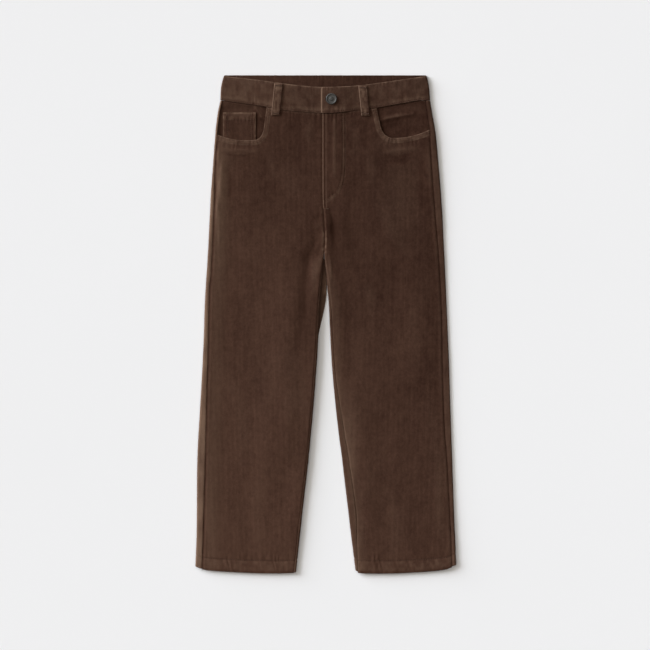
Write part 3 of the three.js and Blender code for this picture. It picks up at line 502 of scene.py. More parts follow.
def creases_and_painted_light(leg, x, down):
    """Broad unevenness, folds and creases, with painted highlights on their ridges, painted shade in their troughs,
    and the patches of painted highlight and shade.
    """
    creases = FINE_CREASES[leg.name]
    folds = crease_rise(FOLDS[leg.name], x, down, 4)
    rise = 0.3 * uneven(x / 42 + 7, down / 75, 3) + 0.12 * uneven(x / 13, down / 30, 5)
    rise = rise + 1.3 * crease_rise(creases, x, down) + 0.4 * folds
    # Painted highlights on the ridges of creases and folds, and painted shade in their troughs.
    wear_and_painted_light = 0.5 * crease_rise(creases, x, down, 5) + 0.4 * np.minimum(folds, 0) + 0.15 * folds
    for px, pd, wide, tall, tone in zip(*PAINTED_LIGHT_AND_SHADE_PATCHES[leg.name].values()):
        wear_and_painted_light = wear_and_painted_light + tone * bump(np.hypot((x - px) / wide, (down - pd) / tall), 1)
    return rise, wear_and_painted_light


def side_seam(leg, x, down):
    """Sunk at the seam and raised where the turnings lie under it."""
    away = np.abs(x - leg.outline(down)) - leg.side_inset(down)
    rise = ridges(SIDE_RELIEF, away) + puckers("side seam", away, down)
    # A pale band on the raised turnings beside the seam: worn, and a painted highlight.
    wear_and_painted_light = 0.15 * bump(away - 2.2, 2.4) * (0.6 + 0.4 * uneven(x / 9, down / 21, 23))
    # On the right leg the seam is painted dark, painted shade in its groove, and a band 11 mm in is painted lighter,
    # a painted highlight that lifts the slope there which faces away from the light.
    if leg.hand < 0:
        return rise - 0.2 * bump(away - 2.4, 2), wear_and_painted_light + ridges(SIDE_SHADE, away)
    return rise, wear_and_painted_light


def inseam(leg, x, down):
    below = ease((down - CROTCH) / 20)
    away = np.abs(x - leg.inner_x(down)) - leg.inseam_inset(down) * below
    rise = below * (puckers("inseam", away, down) - 0.4 * bump(away, 1.0))
    if leg.hand < 0:
        return rise, 0
    # The left leg's inner edge faces the light: painted highlights along it, near the crotch and down the lower leg.
    wear_and_painted_light = 0.3 * bump(away - 3, 9) * (0.7 + 0.3 * uneven(x / 9, down / 21, 33))
    wear_and_painted_light = wear_and_painted_light + 0.35 * bump(away, 1.6) * (1 - ease((down - 330) / 40))
    return rise, below * wear_and_painted_light + 0.3 * bump(away, 2.5) * ease((down - 390) / 100)


def waist_seam(leg, x, down):
    away = down - band_bottom(x) - WAIST_GAP
    return 0.35 * bump(away, 2.5) + puckers("waist seam", away, x, leg.hand), 0.12 * bump(away - 1, 1.5)


# %% The fly and the centre seam
FLY_SEWN_TO = 190
ZIP_RIDGE = {"x": 12.7, "width": 2.4, "from": 60, "to": 140}
# The fly's folded edge is painted pale, worn and a painted highlight on the fold, with a line of painted shade
# beside it and a second painted highlight.
FLY_EDGE_WEAR_AND_HIGHLIGHT = table(RIDGES, (0, 1.1, 0.8), (2.7, 1.0, -0.35), (4.8, 1.0, 0.3))
CENTRE_RELIEF = table(RIDGES, (0, 1.3, -0.5), (3, 2, 0.35))


def fly_stitches(x, down):
    """The J of stitching, and the ridge of the zip's tape behind it."""
    away, along = FLY_STITCHING.near(x, down, 9)
    rise = puckers("fly rows", away, along) - 0.56 * bump(away - FLY_ROWS[1], 0.8)
    # The cloth along the stitching is painted paler, unevenly: worn, and painted highlights on its puckers.
    wear_and_painted_light = 0.35 * bump(away, 1.9) * (0.65 + 0.6 * uneven(x / 4, down / 6, 43))
    ends = ease((down - ZIP_RIDGE["from"]) / 6) * (1 - ease((down - ZIP_RIDGE["to"]) / 12))
    ridge = bump(x - ZIP_RIDGE["x"], ZIP_RIDGE["width"]) * ends
    # The zip's ridge is also painted lighter, a painted highlight.
    return rise + 0.32 * ridge, wear_and_painted_light + 0.2 * ridge


def centre_front(leg, x, down):
    """The left front's folded edge lies on the right front down to the fly's end. Below is a sewn seam."""
    away = np.abs(x - centre_seam(down))
    fly = 1 - ease((down - FLY_SEWN_TO) / 5)
    seam = (1 - fly) * (1 - ease((down - CROTCH) / 12))
    rise = seam * (ridges(CENTRE_RELIEF, away) + puckers("centre seam", away, down))
    rise = rise + fly * puckers("fly edge", away, down)
    # Below the fly the puckers beside the seam are painted light, painted highlights, and the seam line is painted
    # dark, painted shade in its groove.
    beads = clamp(0.45 + 0.9 * uneven(x / 1.9, down / 2.4, 55))
    wear_and_painted_light = mix(0.25, 0.9, ease((down - 205) / 30)) * beads * bump(away - 1.9, 1.7)
    wear_and_painted_light = seam * (wear_and_painted_light - 0.45 * bump(away, 0.7))
    if leg.hand < 0:
        return rise - fly * 0.45 * bump(away, 2.2), wear_and_painted_light
    more_rise, more_wear_and_painted_light = fly_stitches(x, down)
    rise = rise + more_rise - fly * 0.7 * rounded(away, 1.3)
    return rise, wear_and_painted_light + more_wear_and_painted_light + fly * ridges(FLY_EDGE_WEAR_AND_HIGHLIGHT, away)


# %% The pocket mouth and the hem
MOUTH_BAND = 6.6
MOUTH_ROWS = (1.6, 5.9)
MOUTH_EDGE_WEAR_AND_HIGHLIGHT = table(RIDGES, (0.5, 0.9, 0.4), (MOUTH_BAND, 1.2, 0.25))
HEM_ROW = 18.4


def pocket_mouth(leg, x, down):
    """A turned band, held by two rows of stitches."""
    away, along = leg.mouth_line.near(x, down, 22)
    band = 1 - ease(away - MOUTH_BAND)
    rise = 0.38 * band - 0.8 * rounded(away, 1.1)
    rise = rise + puckers("mouth", away - 4, along) + puckers("under the mouth", away - 10, along)
    # The turned band is painted pale: worn, with a painted highlight on its folded edge and on its far edge.
    wear_and_painted_light = 0.42 * band + ridges(MOUTH_EDGE_WEAR_AND_HIGHLIGHT, away)
    wear_and_painted_light = wear_and_painted_light * (0.66 + 0.5 * uneven(x / 5.5, down / 4, 75))
    # The two stitch rows are painted darker, painted shade in their grooves.
    stitch_row_shade = 0.16 * (0.5 + 0.5 * uneven(x / 3, down / 3, 77))
    for row in MOUTH_ROWS:
        rise = rise - 0.3 * bump(away - row, 0.7)
        wear_and_painted_light = wear_and_painted_light - stitch_row_shade * bump(away - row, 0.8)
    return rise, wear_and_painted_light


def turned_hem(down):
    """Distance from the hem's edge, the share that is on its turning, and the form of its edge and stitches."""
    away = LENGTH - down
    return away, 1 - ease((away - HEM_ROW) / 2), -0.42 * bump(away - HEM_ROW, 1.1) - 0.8 * rounded(away, 1.2)


def front_hem(leg, x, down):
    """A turning held by one row of stitches, which ropes the cloth below it."""
    away, turning, rise = turned_hem(down)
    rise = rise + turning * puckers("front hem", away - 12, x + 0.25 * away, leg.hand)
    rise = rise + puckers("above the hem", away - 22, x)
    # The turning and its edge are painted pale: worn, and a painted sheen on the fold.
    wear_and_painted_light = 0.19 * turning + 0.25 * bump(away - 0.4, 1.0)
    wear_and_painted_light = wear_and_painted_light * (0.6 + 0.8 * uneven(x / 4, down / 4.5, 87))
    # The stitch row and the round of the edge are painted darker, painted shade.
    return rise, wear_and_painted_light - 0.3 * bump(away - HEM_ROW, 0.8) - 0.35 * bump(away - 1.8, 1.8)


# %% A front's whole surface
FRONT_PARTS = (creases_and_painted_light, side_seam, inseam, waist_seam, centre_front, pocket_mouth, front_hem)


def front_detail(leg, x, down):
    """What the front's surface adds to its main form, and how much lighter or darker it is painted, for wear and
    painted light.
    """
    details = [part(leg, x, down) for part in FRONT_PARTS]
    return sum(rise for rise, _ in details), sum(wear_and_painted_light for _, wear_and_painted_light in details)


def front_surface(leg, x, down):
    rise, _ = front_detail(leg, x, down)
    return face_height(leg, x, down) + rise


print("fly stitching:", round(FLY_STITCHING.along[-1]), "mm long")

# %% [markdown]
# ## Corduroy as a mesh
# Corduroy has raised cords of pile, called wales, that run down the garment with a narrow groove
# between them. A bump map would fake them. Here each cord is real: four columns of the mesh make
# one cord, and their depths draw its round top and its groove. The columns are laid along the
# cloth, not along the picture, so the cords go round the folded edges as woven ones do.

# %% Cords and the shell that carries them
WALE = 1.8
CORD_COLUMNS = np.array([0.0, 0.2, 0.5, 0.8])
CORD_DEPTHS = np.array([-0.36, -0.07, 0.0, -0.07])
PER_CORD = len(CORD_COLUMNS)


def cords(start, stop):
    """Places across the cloth for whole cords from start to stop, and the depth of the pile there."""
    numbers = np.arange(math.floor(start / WALE), math.ceil(stop / WALE))
    across = ((numbers[:, None] + CORD_COLUMNS) * WALE).ravel()
    return np.append(across, (numbers[-1] + 1) * WALE), np.append(np.tile(CORD_DEPTHS, len(numbers)), CORD_DEPTHS[0])


def crushed(across, along, seed):
    """How deep the grooves still are: the pile is pressed flatter in patches."""
    return 0.72 + 0.2 * uneven(across / 9, along / 60, seed) + 0.12 * uneven(across / 2.3, along / 14, seed + 1)


def tiles(ids):
    """The grid's cells as quads and triangles, without those that have shrunk to nothing."""
    cells = np.stack([ids[:-1, :-1], ids[:-1, 1:], ids[1:, 1:], ids[1:, :-1]], -1).reshape(-1, 4)
    same = cells == np.roll(cells, -1, axis=1)
    sound = (cells[:, 0] != cells[:, 2]) & (cells[:, 1] != cells[:, 3])
    repeats = same.sum(1)
    quads = cells[sound & (repeats == 0)]
    thirds = sound & (repeats == 1)
    return quads, cells[thirds][~same[thirds]].reshape(-1, 3)


def flipped(faces):
    return [group[:, ::-1] for group in faces]


def make_mesh(name, points, groups, smooth, marks):
    """A mesh object from points in millimetres and groups of faces, with its named values at each point."""
    used = np.unique(np.concatenate([group.ravel() for group in groups]))
    place = np.zeros(len(points), int)
    place[used] = np.arange(len(used))
    mesh = bpy.data.meshes.new(name)
    mesh.vertices.add(len(used))
    mesh.vertices.foreach_set("co", (points[used] * MM).astype(np.float32).ravel())
    corners = np.concatenate([place[group].ravel() for group in groups])
    sizes = np.concatenate([np.full(len(group), group.shape[1]) for group in groups])
    mesh.loops.add(len(corners))
    mesh.loops.foreach_set("vertex_index", corners.astype(np.int32))
    mesh.polygons.add(len(sizes))
    mesh.polygons.foreach_set("loop_start", (np.cumsum(sizes) - sizes).astype(np.int32))
    flags = np.concatenate([np.full(len(group), flag) for group, flag in zip(groups, smooth)])
    mesh.polygons.foreach_set("use_smooth", flags)
    mesh.update(calc_edges=True)
    for mark, values in marks.items():
        attribute = mesh.attributes.new(mark, "FLOAT", "POINT")
        attribute.data.foreach_set("value", values.ravel()[used].astype(np.float32))
    piece = bpy.data.objects.new(name, mesh)
    bpy.context.scene.collection.objects.link(piece)
    return piece


LINING_ROWS = 4


def shell(name, outer, out, thick, first=None, last=None, marks=None):
    """A thin closed cloth from a grid of outer points. In each row the columns before first and after last
    shrink to its edge. The side that doesn't show keeps only the grooves' columns and every fourth row."""
    rows, columns, _ = outer.shape
    first = np.zeros(rows, int) if first is None else first
    last = np.full(rows, columns - 1) if last is None else last
    column = np.clip(np.arange(columns)[None, :], first[:, None], last[:, None])
    row = np.broadcast_to(np.arange(rows)[:, None], column.shape)
    rim = (row == 0) | (row == rows - 1) | (column == first[:, None]) | (column == last[:, None])
    face = row * columns + column
    far_row = np.where(rim, row, np.minimum((row + LINING_ROWS // 2) // LINING_ROWS * LINING_ROWS, rows - 1))
    far_column = np.where(rim, column, (column + PER_CORD // 2) // PER_CORD * PER_CORD)
    far_column = np.clip(far_column, first[far_row], last[far_row])
    inside = rows * columns + far_row * columns + far_column
    behind = np.zeros(rows * columns, int)
    behind[face] = inside
    shown, lining = tiles(face), flipped(tiles(inside))
    edges = np.concatenate([
        np.stack([group.ravel(), np.roll(group, -1, axis=1).ravel()], -1) for group in shown
    ])
    codes = edges[:, 0] * (rows * columns) + edges[:, 1]
    border = edges[~np.isin(codes, edges[:, 1] * (rows * columns) + edges[:, 0])]
    wall = np.stack([border[:, 1], border[:, 0], behind[border[:, 0]], behind[border[:, 1]]], -1)
    shut = wall[:, 2] == wall[:, 3]
    # Where the cloth narrows to a point, two triangles can lie back to back. Both are left out.
    threes = [shown[1], lining[1], wall[shut][:, :3]]
    _, which, count = np.unique(np.sort(np.vstack(threes), axis=1), axis=0, return_inverse=True, return_counts=True)
    single = np.split(count[which.ravel()] == 1, np.cumsum([len(group) for group in threes])[:-1])
    threes = [group[kept] for group, kept in zip(threes, single)]
    groups = [shown[0], threes[0], lining[0], threes[1], wall[~shut], threes[2]]
    points = np.concatenate([outer.reshape(-1, 3), (outer - out * thick[..., None]).reshape(-1, 3)])
    quads = shown[0]
    a, b, c = (points[quads[:, k]] for k in (0, 1, 2))
    if (np.cross(b - a, c - a) * out.reshape(-1, 3)[quads[:, 0]]).sum() < 0:
        groups = flipped(groups)
    doubled = {mark: np.tile(np.broadcast_to(v, rim.shape).ravel(), 2) for mark, v in (marks or {}).items()}
    piece = make_mesh(name, points, groups, [True, True, True, True, False, False], doubled)
    print(name, sum(len(g) * (g.shape[1] - 2) for g in groups), "triangles")
    return piece


# %% [markdown]
# ## The front panels
# Each front is one cut of cloth from the waist seam to the hem, with the scooped pocket mouth cut
# out of its upper corner. Rows of the mesh follow that top edge and settle to level lines further
# down. They are close together where there is sewing and wide apart down the leg.

# %% Rows and columns of a front
GRAIN = table("down shift", (FRONT_TOP, 0), (CROTCH, 1), (420, 2.5), (LENGTH, 5))
grain_shift = curve(GRAIN, "down", "shift")


def grain(leg, down):
    """How far the cords have moved outward at this level: they follow the leg, not the picture."""
    return leg.hand * grain_shift(down)


def levels(*spans):
    """Levels of the mesh's rows: (from, to, step) spans, one after the other."""
    rows = [np.linspace(a, b, max(1, round((b - a) / step)), endpoint=False) for a, b, step in spans]
    return np.append(np.concatenate(rows), spans[-1][1])


FRONT_LEVELS = levels(
    (FRONT_TOP, 63, 0.6), (63, 70, 1.4), (70, 130, 2.5), (130, 270, 3.6), (270, 690, 6.5), (690, 700, 2.5),
    (700, 706, 0.9), (706, 718, 2), (718, LENGTH, 0.6),
)
ROWS_SETTLE = 185


def top_edge(leg, x):
    mouth = leg.mouth_line.points
    order = np.argsort(mouth[:, 0])
    on_mouth = leg.hand * (x - leg.mouth["waist"]) > 0
    return np.where(on_mouth, np.interp(x, mouth[order, 0], mouth[order, 1]), band_bottom(x) + WAIST_GAP)


def front_end(radius, inset, curl, s):
    """How a front ends at an edge: distance from the edge, height lost, and the way the cloth faces."""
    seam = curl * np.arcsin(clamp(1 - inset / radius))
    angle = np.maximum(0, seam - s / radius)
    start = inset * curl + radius * np.sin(seam)
    return start - radius * np.sin(angle) + np.maximum(0, s - seam * radius), radius * (1 - np.cos(angle)), angle


def from_seam(radius, inset, curl, away):
    """Distance along the cloth from the seam, for a place this far in from the garment's edge."""
    seam = curl * np.arcsin(clamp(1 - inset / radius))
    return away - inset * curl - radius * np.sin(seam) + seam * radius


def span(leg, side, inner):
    """The first and last columns of each row that lie between the two seams."""
    low, high = (side, inner) if leg.hand < 0 else (inner, side)
    columns = side.shape[1]
    return np.maximum(0, (low <= 0).sum(1) - 1), columns - 1 - np.maximum(0, (high <= 0).sum(1) - 1)


def front_panel(leg):
    far = leg.outline(LENGTH) - grain(leg, LENGTH)
    ends = sorted([far * 1.03, centre_seam(CROTCH) - leg.hand * 16])
    across, pile = cords(min(ends), max(ends))
    level = FRONT_LEVELS[:, None]
    across = np.broadcast_to(across, (len(FRONT_LEVELS), len(across)))
    settle = clamp((level - FRONT_TOP) / ROWS_SETTLE)
    down = level + 0 * across
    for _ in range(4):
        x = across + grain(leg, down)
        down = level + (top_edge(leg, x) - FRONT_TOP) * (1 - settle) ** 1.5
    x = across + grain(leg, down)
    side_radius, inner_radius = leg.side_height(down) / 2, leg.inner_height(down) / 2
    side_inset, inseam, curl = leg.side_inset(down), leg.inseam_inset(down), curl_at(down)
    side = from_seam(side_radius, side_inset, 1, leg.hand * (leg.outline(down) - x)) - GAP / 2
    seam_gap = curl * GAP / 2
    inner = from_seam(inner_radius, inseam, curl, leg.hand * (x - leg.inner_x(down))) - seam_gap
    first, last = span(leg, side, inner)
    by_side = side < inner
    at_side = front_end(side_radius, side_inset, 1, np.maximum(side, 0) + GAP / 2)
    at_inner = front_end(inner_radius, inseam, curl, np.maximum(inner, 0) + seam_gap)
    away, drop, angle = (np.where(by_side, a, b) for a, b in zip(at_side, at_inner))
    x = np.where(by_side, leg.outline(down) - leg.hand * away, leg.inner_x(down) + leg.hand * away)
    lean = np.where(by_side, leg.hand, -leg.hand) * np.sin(angle)
    out = np.stack([lean, 0 * lean, np.cos(angle)], -1)
    rise, wear_and_painted_light = front_detail(leg, x, down)
    depth = pile * crushed(across, down, 91 + leg.hand)
    points = in_space(x, down + hem_shift(leg, x, down), face_height(leg, x, down) - drop)
    points = points + out * (rise + depth)[..., None]
    marks = {"wale": across / WALE + 400, "wear_and_painted_light": wear_and_painted_light}
    return shell(f"front_panel_{leg.name}", points, out, wall_at(down) - 0.25 + depth, first, last, marks)


front_right, front_left = front_panel(RIGHT), front_panel(LEFT)

# %% [markdown]
# ## The back panels
# A back lies under its front and is wider, so it turns up round the edges of the leg. From above it
# shows as the narrow strips outside the side seam and the inseam. Its rows run from one seam on
# top, round the edge, along the flat underside and up the other edge to the other seam.

# %% Rows and columns of a back
BACK_LEVELS = levels(
    (BACK_BAND_BOTTOM + WAIST_GAP, 42, 1.0), (42, 70, 3.5), (70, 270, 5), (270, 690, 8), (690, 700, 3),
    (700, 706, 1), (706, 718, 2.5), (718, LENGTH, 0.8),
)


def back_end(radius, inset, curl, s):
    """How a back ends: distance from the garment's edge, height, and the angle that the cloth has turned by."""
    on_top = curl * np.maximum(0, inset - radius)
    start = np.pi - curl * (np.pi - np.arcsin(clamp(1 - inset / radius)))
    reach = np.where(start <= np.pi / 2, 1, np.sin(start))
    flat = s < on_top
    angle = np.where(flat, 0, np.minimum(np.pi, start + np.maximum(0, s - on_top) / radius))
    past = np.maximum(0, s - on_top - (np.pi - start) * radius)
    away = np.where(flat, inset - s, radius * (reach - np.sin(angle)) + past)
    return away, np.where(flat, 2 * radius, radius * (1 + np.cos(angle))), angle


def back_from_seam(radius, inset, curl, away):
    start = np.pi - curl * (np.pi - np.arcsin(clamp(1 - inset / radius)))
    reach = np.where(start <= np.pi / 2, 1, np.sin(start))
    return away - radius * reach + curl * np.maximum(0, inset - radius) + (np.pi - start) * radius


BACK_CREASES = {
    "right": table(
        FOLD_COLUMNS,
        (-12, 236, -52, 262, 4.5, -0.6), (-10, 250, -44, 292, 5, -0.55), (-20, 214, -76, 222, 5, -0.4),
        (-60, 150, -108, 176, 8, -0.4), (-140, 196, -96, 214, 7, -0.45), (-150, 384, -96, 372, 6, -0.5),
        (-34, 402, -84, 390, 6, -0.5), (-150, 412, -108, 420, 7, -0.4), (-60, 470, -74, 600, 10, -0.45),
        (-130, 520, -122, 660, 9, -0.4),
    ),
    "left": table(
        FOLD_COLUMNS,
        (8, 238, 50, 268, 4.5, -0.6), (6, 256, 36, 300, 5, -0.5), (16, 208, 70, 226, 5, -0.45),
        (62, 148, 112, 166, 8, -0.4), (142, 190, 92, 220, 7, -0.4), (158, 392, 104, 376, 6, -0.5),
        (26, 388, 76, 400, 6, -0.55), (150, 424, 112, 414, 7, -0.4), (70, 480, 82, 620, 10, -0.4),
        (136, 540, 142, 680, 9, -0.4),
    ),
}


BACK_SEAM_RELIEF = table(RIDGES, (0, 0.8, -0.35), (3.4, 2.0, 0.15))
# How much lighter the strips that turn up outside the side seams are painted, worn and a painted highlight,
# strongest on the right leg's strip that faces the light, and how dark the seam beside them is painted, painted
# shade in its groove.
STRIP_WEAR_AND_PAINTED_LIGHT = {"right": (1.15, 0.7), "left": (0.25, 0.35), "inner": 0.2}


def back_detail(leg, x, level, side, inner, up):
    """The back's relief, and how much lighter or darker it is painted, by its distance from both seams and how far
    up it faces.
    """
    rise = 0.2 * uneven(x / 12, level / 34, 15) + 0.15 * uneven(x / 40, level / 80, 13)
    pressed = crease_rise(BACK_CREASES[leg.name], x, level) * clamp(-up * 2)
    rise = rise + pressed
    for away, name in ((side, "back side seam"), (inner, "back inseam")):
        rise = rise + ridges(BACK_SEAM_RELIEF, away) + puckers(name, away, level)
    blotch = 0.75 + 0.35 * uneven(x / 7, level / 16, 107)
    strip, seam = STRIP_WEAR_AND_PAINTED_LIGHT[leg.name]
    strip = np.where(side < inner, strip, STRIP_WEAR_AND_PAINTED_LIGHT["inner"])
    # Painted shade in the underside's crease troughs; the strip is painted lighter where it faces up, a painted
    # highlight.
    wear_and_painted_light = 0.4 * pressed + strip * blotch * clamp(up * 3 + 0.2) - seam * bump(side, 1.0)
    if leg.hand > 0:
        # Painted highlight along the left leg's inner edge, which faces the light.
        wear_and_painted_light = wear_and_painted_light + 0.4 * bump(inner, 2.5) * ease((level - 390) / 100)
    hem, turning, hem_rise = turned_hem(level)
    rise = rise + hem_rise + turning * puckers("back hem", hem - 12, x + 0.6 * hem, leg.hand)
    waist = level - BACK_BAND_BOTTOM - WAIST_GAP
    rise = rise - 0.4 * bump(waist, 1.5) + puckers("back waist seam", waist, x)
    # The hem's turning and edge are painted pale: worn, and a painted sheen on the fold.
    wear_and_painted_light = wear_and_painted_light + 0.2 * turning + 0.4 * bump(hem - 0.4, 1.0)
    return np.where(up < 0.2, np.clip(rise, -0.65, 0), rise), wear_and_painted_light


SHADE_CLOTH = {"from": CROTCH + 1, "whole": 12, "ends": 286, "fade": 110}


def shade_cloth_reach(leg, level):
    """How far the right back's cloth is drawn across the narrow gap below the crotch, to the left leg. This low
    sheet of cloth stands in for the deep shadow that lies in the gap.
    """
    if leg.hand > 0:
        return 0 * level
    gap = LEFT.inner_edge(level) - RIGHT.inner_edge(level)
    reach = (gap + GAP + 0.2 * leg.inner_height(level)) * ease((level - SHADE_CLOTH["from"]) / SHADE_CLOTH["whole"])
    return reach * (1 - ease((level - SHADE_CLOTH["ends"]) / SHADE_CLOTH["fade"]))


def back_panel(leg):
    wrap = 19
    far = leg.hand * np.max(leg.hand * (leg.outline(BACK_LEVELS) - grain(leg, BACK_LEVELS)))
    ends = [far + leg.hand * wrap, centre_seam(CROTCH) - leg.hand * (14 + wrap)]
    across, pile = cords(min(ends), max(ends))
    level = BACK_LEVELS[:, None] + 0 * across
    x = across + grain(leg, level)
    side_radius, inner_radius = leg.side_height(level) / 2, leg.inner_height(level) / 2
    side_inset, inseam, curl = leg.side_inset(level), leg.inseam_inset(level), curl_at(level)
    side = back_from_seam(side_radius, side_inset, 1, leg.hand * (leg.outline(level) - x)) - GAP / 2
    seam_gap = curl * GAP / 2
    inner = back_from_seam(inner_radius, inseam, curl, leg.hand * (x - leg.inner_x(level))) - seam_gap
    first, last = span(leg, side, inner)
    by_side = side < inner
    at_side = back_end(side_radius, side_inset, 1, np.maximum(side, 0) + GAP / 2)
    at_inner = back_end(inner_radius, inseam, curl, np.maximum(inner, 0) + seam_gap)
    away, z, angle = (np.where(by_side, a, b) for a, b in zip(at_side, at_inner))
    # A painted shadow made by a sheet: the low part of the right back's inner edge is drawn across the gap below the
    # crotch, where there is only shade.
    low = ease((0.8 * inner_radius - z) / (0.6 * inner_radius)) * (1 - ease((away - inner_radius) / 15))
    shade_cloth = np.where(by_side, 0, shade_cloth_reach(leg, level) * low)
    away = away - shade_cloth
    x = np.where(by_side, leg.outline(level) - leg.hand * away, leg.inner_x(level) + leg.hand * away)
    up = np.cos(angle)
    lean = np.where(by_side, leg.hand, -leg.hand) * np.sin(angle)
    out = np.stack([lean, 0 * lean, up], -1)
    drop = clamp(up) * (band_bottom(x) - BACK_BAND_BOTTOM) * ease((CROTCH - level) / CROTCH)
    down = level + drop + hem_shift(leg, x, level) - leg.hem_rise * near_hem(level)
    rise, wear_and_painted_light = back_detail(leg, x, level, np.maximum(side, 0), np.maximum(inner, 0), up)
    # The sheet across the gap is painted lighter, painted light, so that it reads as the dim floor of the gap.
    wear_and_painted_light = wear_and_painted_light + 0.12 * shade_cloth
    depth = pile * crushed(across, level, 141 + leg.hand)
    points = in_space(x, down, z) + out * (rise + depth)[..., None]
    marks = {"wale": across / WALE + 800, "wear_and_painted_light": wear_and_painted_light}
    thick = wall_at(level) - 0.1 + rise + depth
    return shell(f"back_panel_{leg.name}", points, out, thick, first, last, marks)


back_right, back_left = back_panel(RIGHT), back_panel(LEFT)

# %% [markdown]
# ## Inside the pockets
# The scooped mouths show the facing behind them. On the right a small coin pocket is sewn to it,
# with its own stitched top edge. The facing lies lower than the front, and along the mouth and
# beside the coin pocket it is painted darker with painted shade, which is why the mouths look dark.

# %% Facings and coin pocket
MOUTH_HOLLOW = {"x": 96, "down": 76, "reach": 26, "depth": 0.7}
FACING_DROP = (40, 50)
COIN = {"x": -149, "to_x": -101.3, "down": 54, "to_down": 101}
COIN_HEM, COIN_SIDES = 64.5, (-142.2, -105.6, -108.6)
FACING_CREASES = {
    "right": table(FOLD_COLUMNS, (-102, 47, -94.5, 60, 2.4, 0.9), (-94.5, 60, -87, 64.5, 2.2, 0.8),
                   (-98, 64, -92, 74, 5, -0.6), (-152, 80, -150, 92, 3, -0.5)),
    "left": table(FOLD_COLUMNS, (80, 64.5, 104, 59, 2.4, 1.1), (104, 59, 126, 56, 2.2, 0.8),
                  (82, 76, 108, 73, 7, -0.9), (112, 84, 140, 80, 5, -0.4), (120, 50, 146, 56, 6, 0.4)),
}


def under_front(leg, x, down):
    return face_height(leg, x, down) - CLOTH - LAYER_GAP


def facing_height(leg, x, down):
    if leg.hand > 0:
        away = np.hypot(x - MOUTH_HOLLOW["x"], down - MOUTH_HOLLOW["down"]) / MOUTH_HOLLOW["reach"]
        return under_front(leg, x, down) - MOUTH_HOLLOW["depth"] * (1 - ease(away))
    start, stop = FACING_DROP
    return under_front(leg, x, down) - (FACING + LAYER_GAP) * ease((down - start) / (stop - start))


def facing_surface(leg, x, down):
    rise = 0.18 * uneven(x / 17, down / 23, 151) + fold_rise(FACING_CREASES[leg.name], x, down)
    rise = rise + 0.6 * bump(down - band_bottom(x), 3)
    mouth, _ = leg.mouth_line.near(x, down, 14)
    return facing_height(leg, x, down) + np.minimum(rise, 1.1) - 0.25 * bump(mouth, 5)


def pocket_facing(leg):
    inner, floor = leg.pocket[1], leg.pocket[2]
    ends = sorted([float(leg.outline(floor)), inner])
    across, pile = cords(*ends)
    waist = band_bottom(across) + WAIST_GAP
    down = mix(waist, floor, np.linspace(0, 1, 34)[:, None])
    x = across + 0 * down
    edge = leg.outline(down) - leg.hand * (leg.side_inset(down) + GAP)
    side, to_inner = leg.hand * (edge - x), leg.hand * (x - inner)
    first, last = span(leg, side, to_inner)
    x = np.where(side < 0, edge, np.where(to_inner < 0, inner, x))
    depth = pile * crushed(x, down, 161)
    points = in_space(x, down, facing_surface(leg, x, down) + depth)
    mouth, along = leg.mouth_line.near(x, down, 14)
    shaded = bump(mouth, 5) * ease((along / leg.mouth_line.along[-1] - 0.4) / 0.2)
    creases = FACING_CREASES[leg.name]
    in_shade = np.maximum(0, fold_rise(creases, x, down - 4.2))
    # Painted highlights on the facing's fold ridges, painted shade just below them, and painted shade along the
    # mouth under the front's edge.
    wear_and_painted_light = 0.02 + 0.26 * fold_rise(creases, x, down) - 0.45 * in_shade - 0.5 * shaded
    if leg.hand < 0:
        # A painted shadow beside the coin pocket's right edge.
        wear_and_painted_light = wear_and_painted_light + 0.05 - 0.6 * bump(x - COIN["to_x"] - 0.9, 1.4) * ease((down - COIN["down"]) / 4)
    marks = {"wale": x / WALE + 1200, "wear_and_painted_light": wear_and_painted_light}
    thick = FACING - 0.1 + depth
    return shell(f"pocket_facing_cloth_{leg.name}", points, straight(x), thick, first, last, marks)


def coin_surface(x, down):
    edge = np.minimum(np.minimum(x - COIN["x"], COIN["to_x"] - x), down - COIN["down"])
    rise = 0.12 * uneven(x / 11, down / 13, 171) - 0.6 * rounded(edge, 1.0)
    rise = rise + 0.3 * (1 - ease((down - COIN_HEM) / 1.5)) - 0.3 * bump(down - COIN_HEM, 0.8)
    rise = rise + puckers("coin hem", down - COIN_HEM, x)
    for row in COIN_SIDES:
        rise = rise - 0.3 * bump(x - row, 0.8) + puckers("coin sides", x - row, down)
    return under_front(RIGHT, x, down) + rise, edge


def coin_patch():
    across, pile = cords(COIN["x"], COIN["to_x"])
    x = np.clip(across, COIN["x"], COIN["to_x"])
    down = levels((COIN["down"], 55.6, 0.4), (55.6, 62, 1.2), (62, 67, 0.7), (67, COIN["to_down"], 2.6))
    x, down = np.broadcast_arrays(x, down[:, None])
    height, edge = coin_surface(x, down)
    depth = pile * crushed(x, down, 181)
    points = in_space(x, down, height + depth)
    blotch = 0.6 + 0.6 * uneven(x / 3.4, down / 3.8, 177)
    # The coin pocket's edges and top band are painted pale: worn, and a painted sheen on the edges.
    wear_and_painted_light = blotch * (bump(edge - 0.6, 1.4) + 0.3 * (1 - ease((down - COIN_HEM) / 1.5))) - 0.02
    # Its stitch rows are painted darker, painted shade in their grooves.
    for row in COIN_SIDES:
        wear_and_painted_light = wear_and_painted_light - 0.4 * bump(x - row, 0.8) * (0.5 + 0.5 * uneven(x / 2, down / 2, 179))
    marks = {"wale": x / WALE + 1400, "wear_and_painted_light": wear_and_painted_light}
    return shell("coin_patch", points, straight(x), FACING - 0.15 + depth, marks=marks)


facing_right, facing_left = pocket_facing(RIGHT), pocket_facing(LEFT)
coin_cloth = coin_patch()

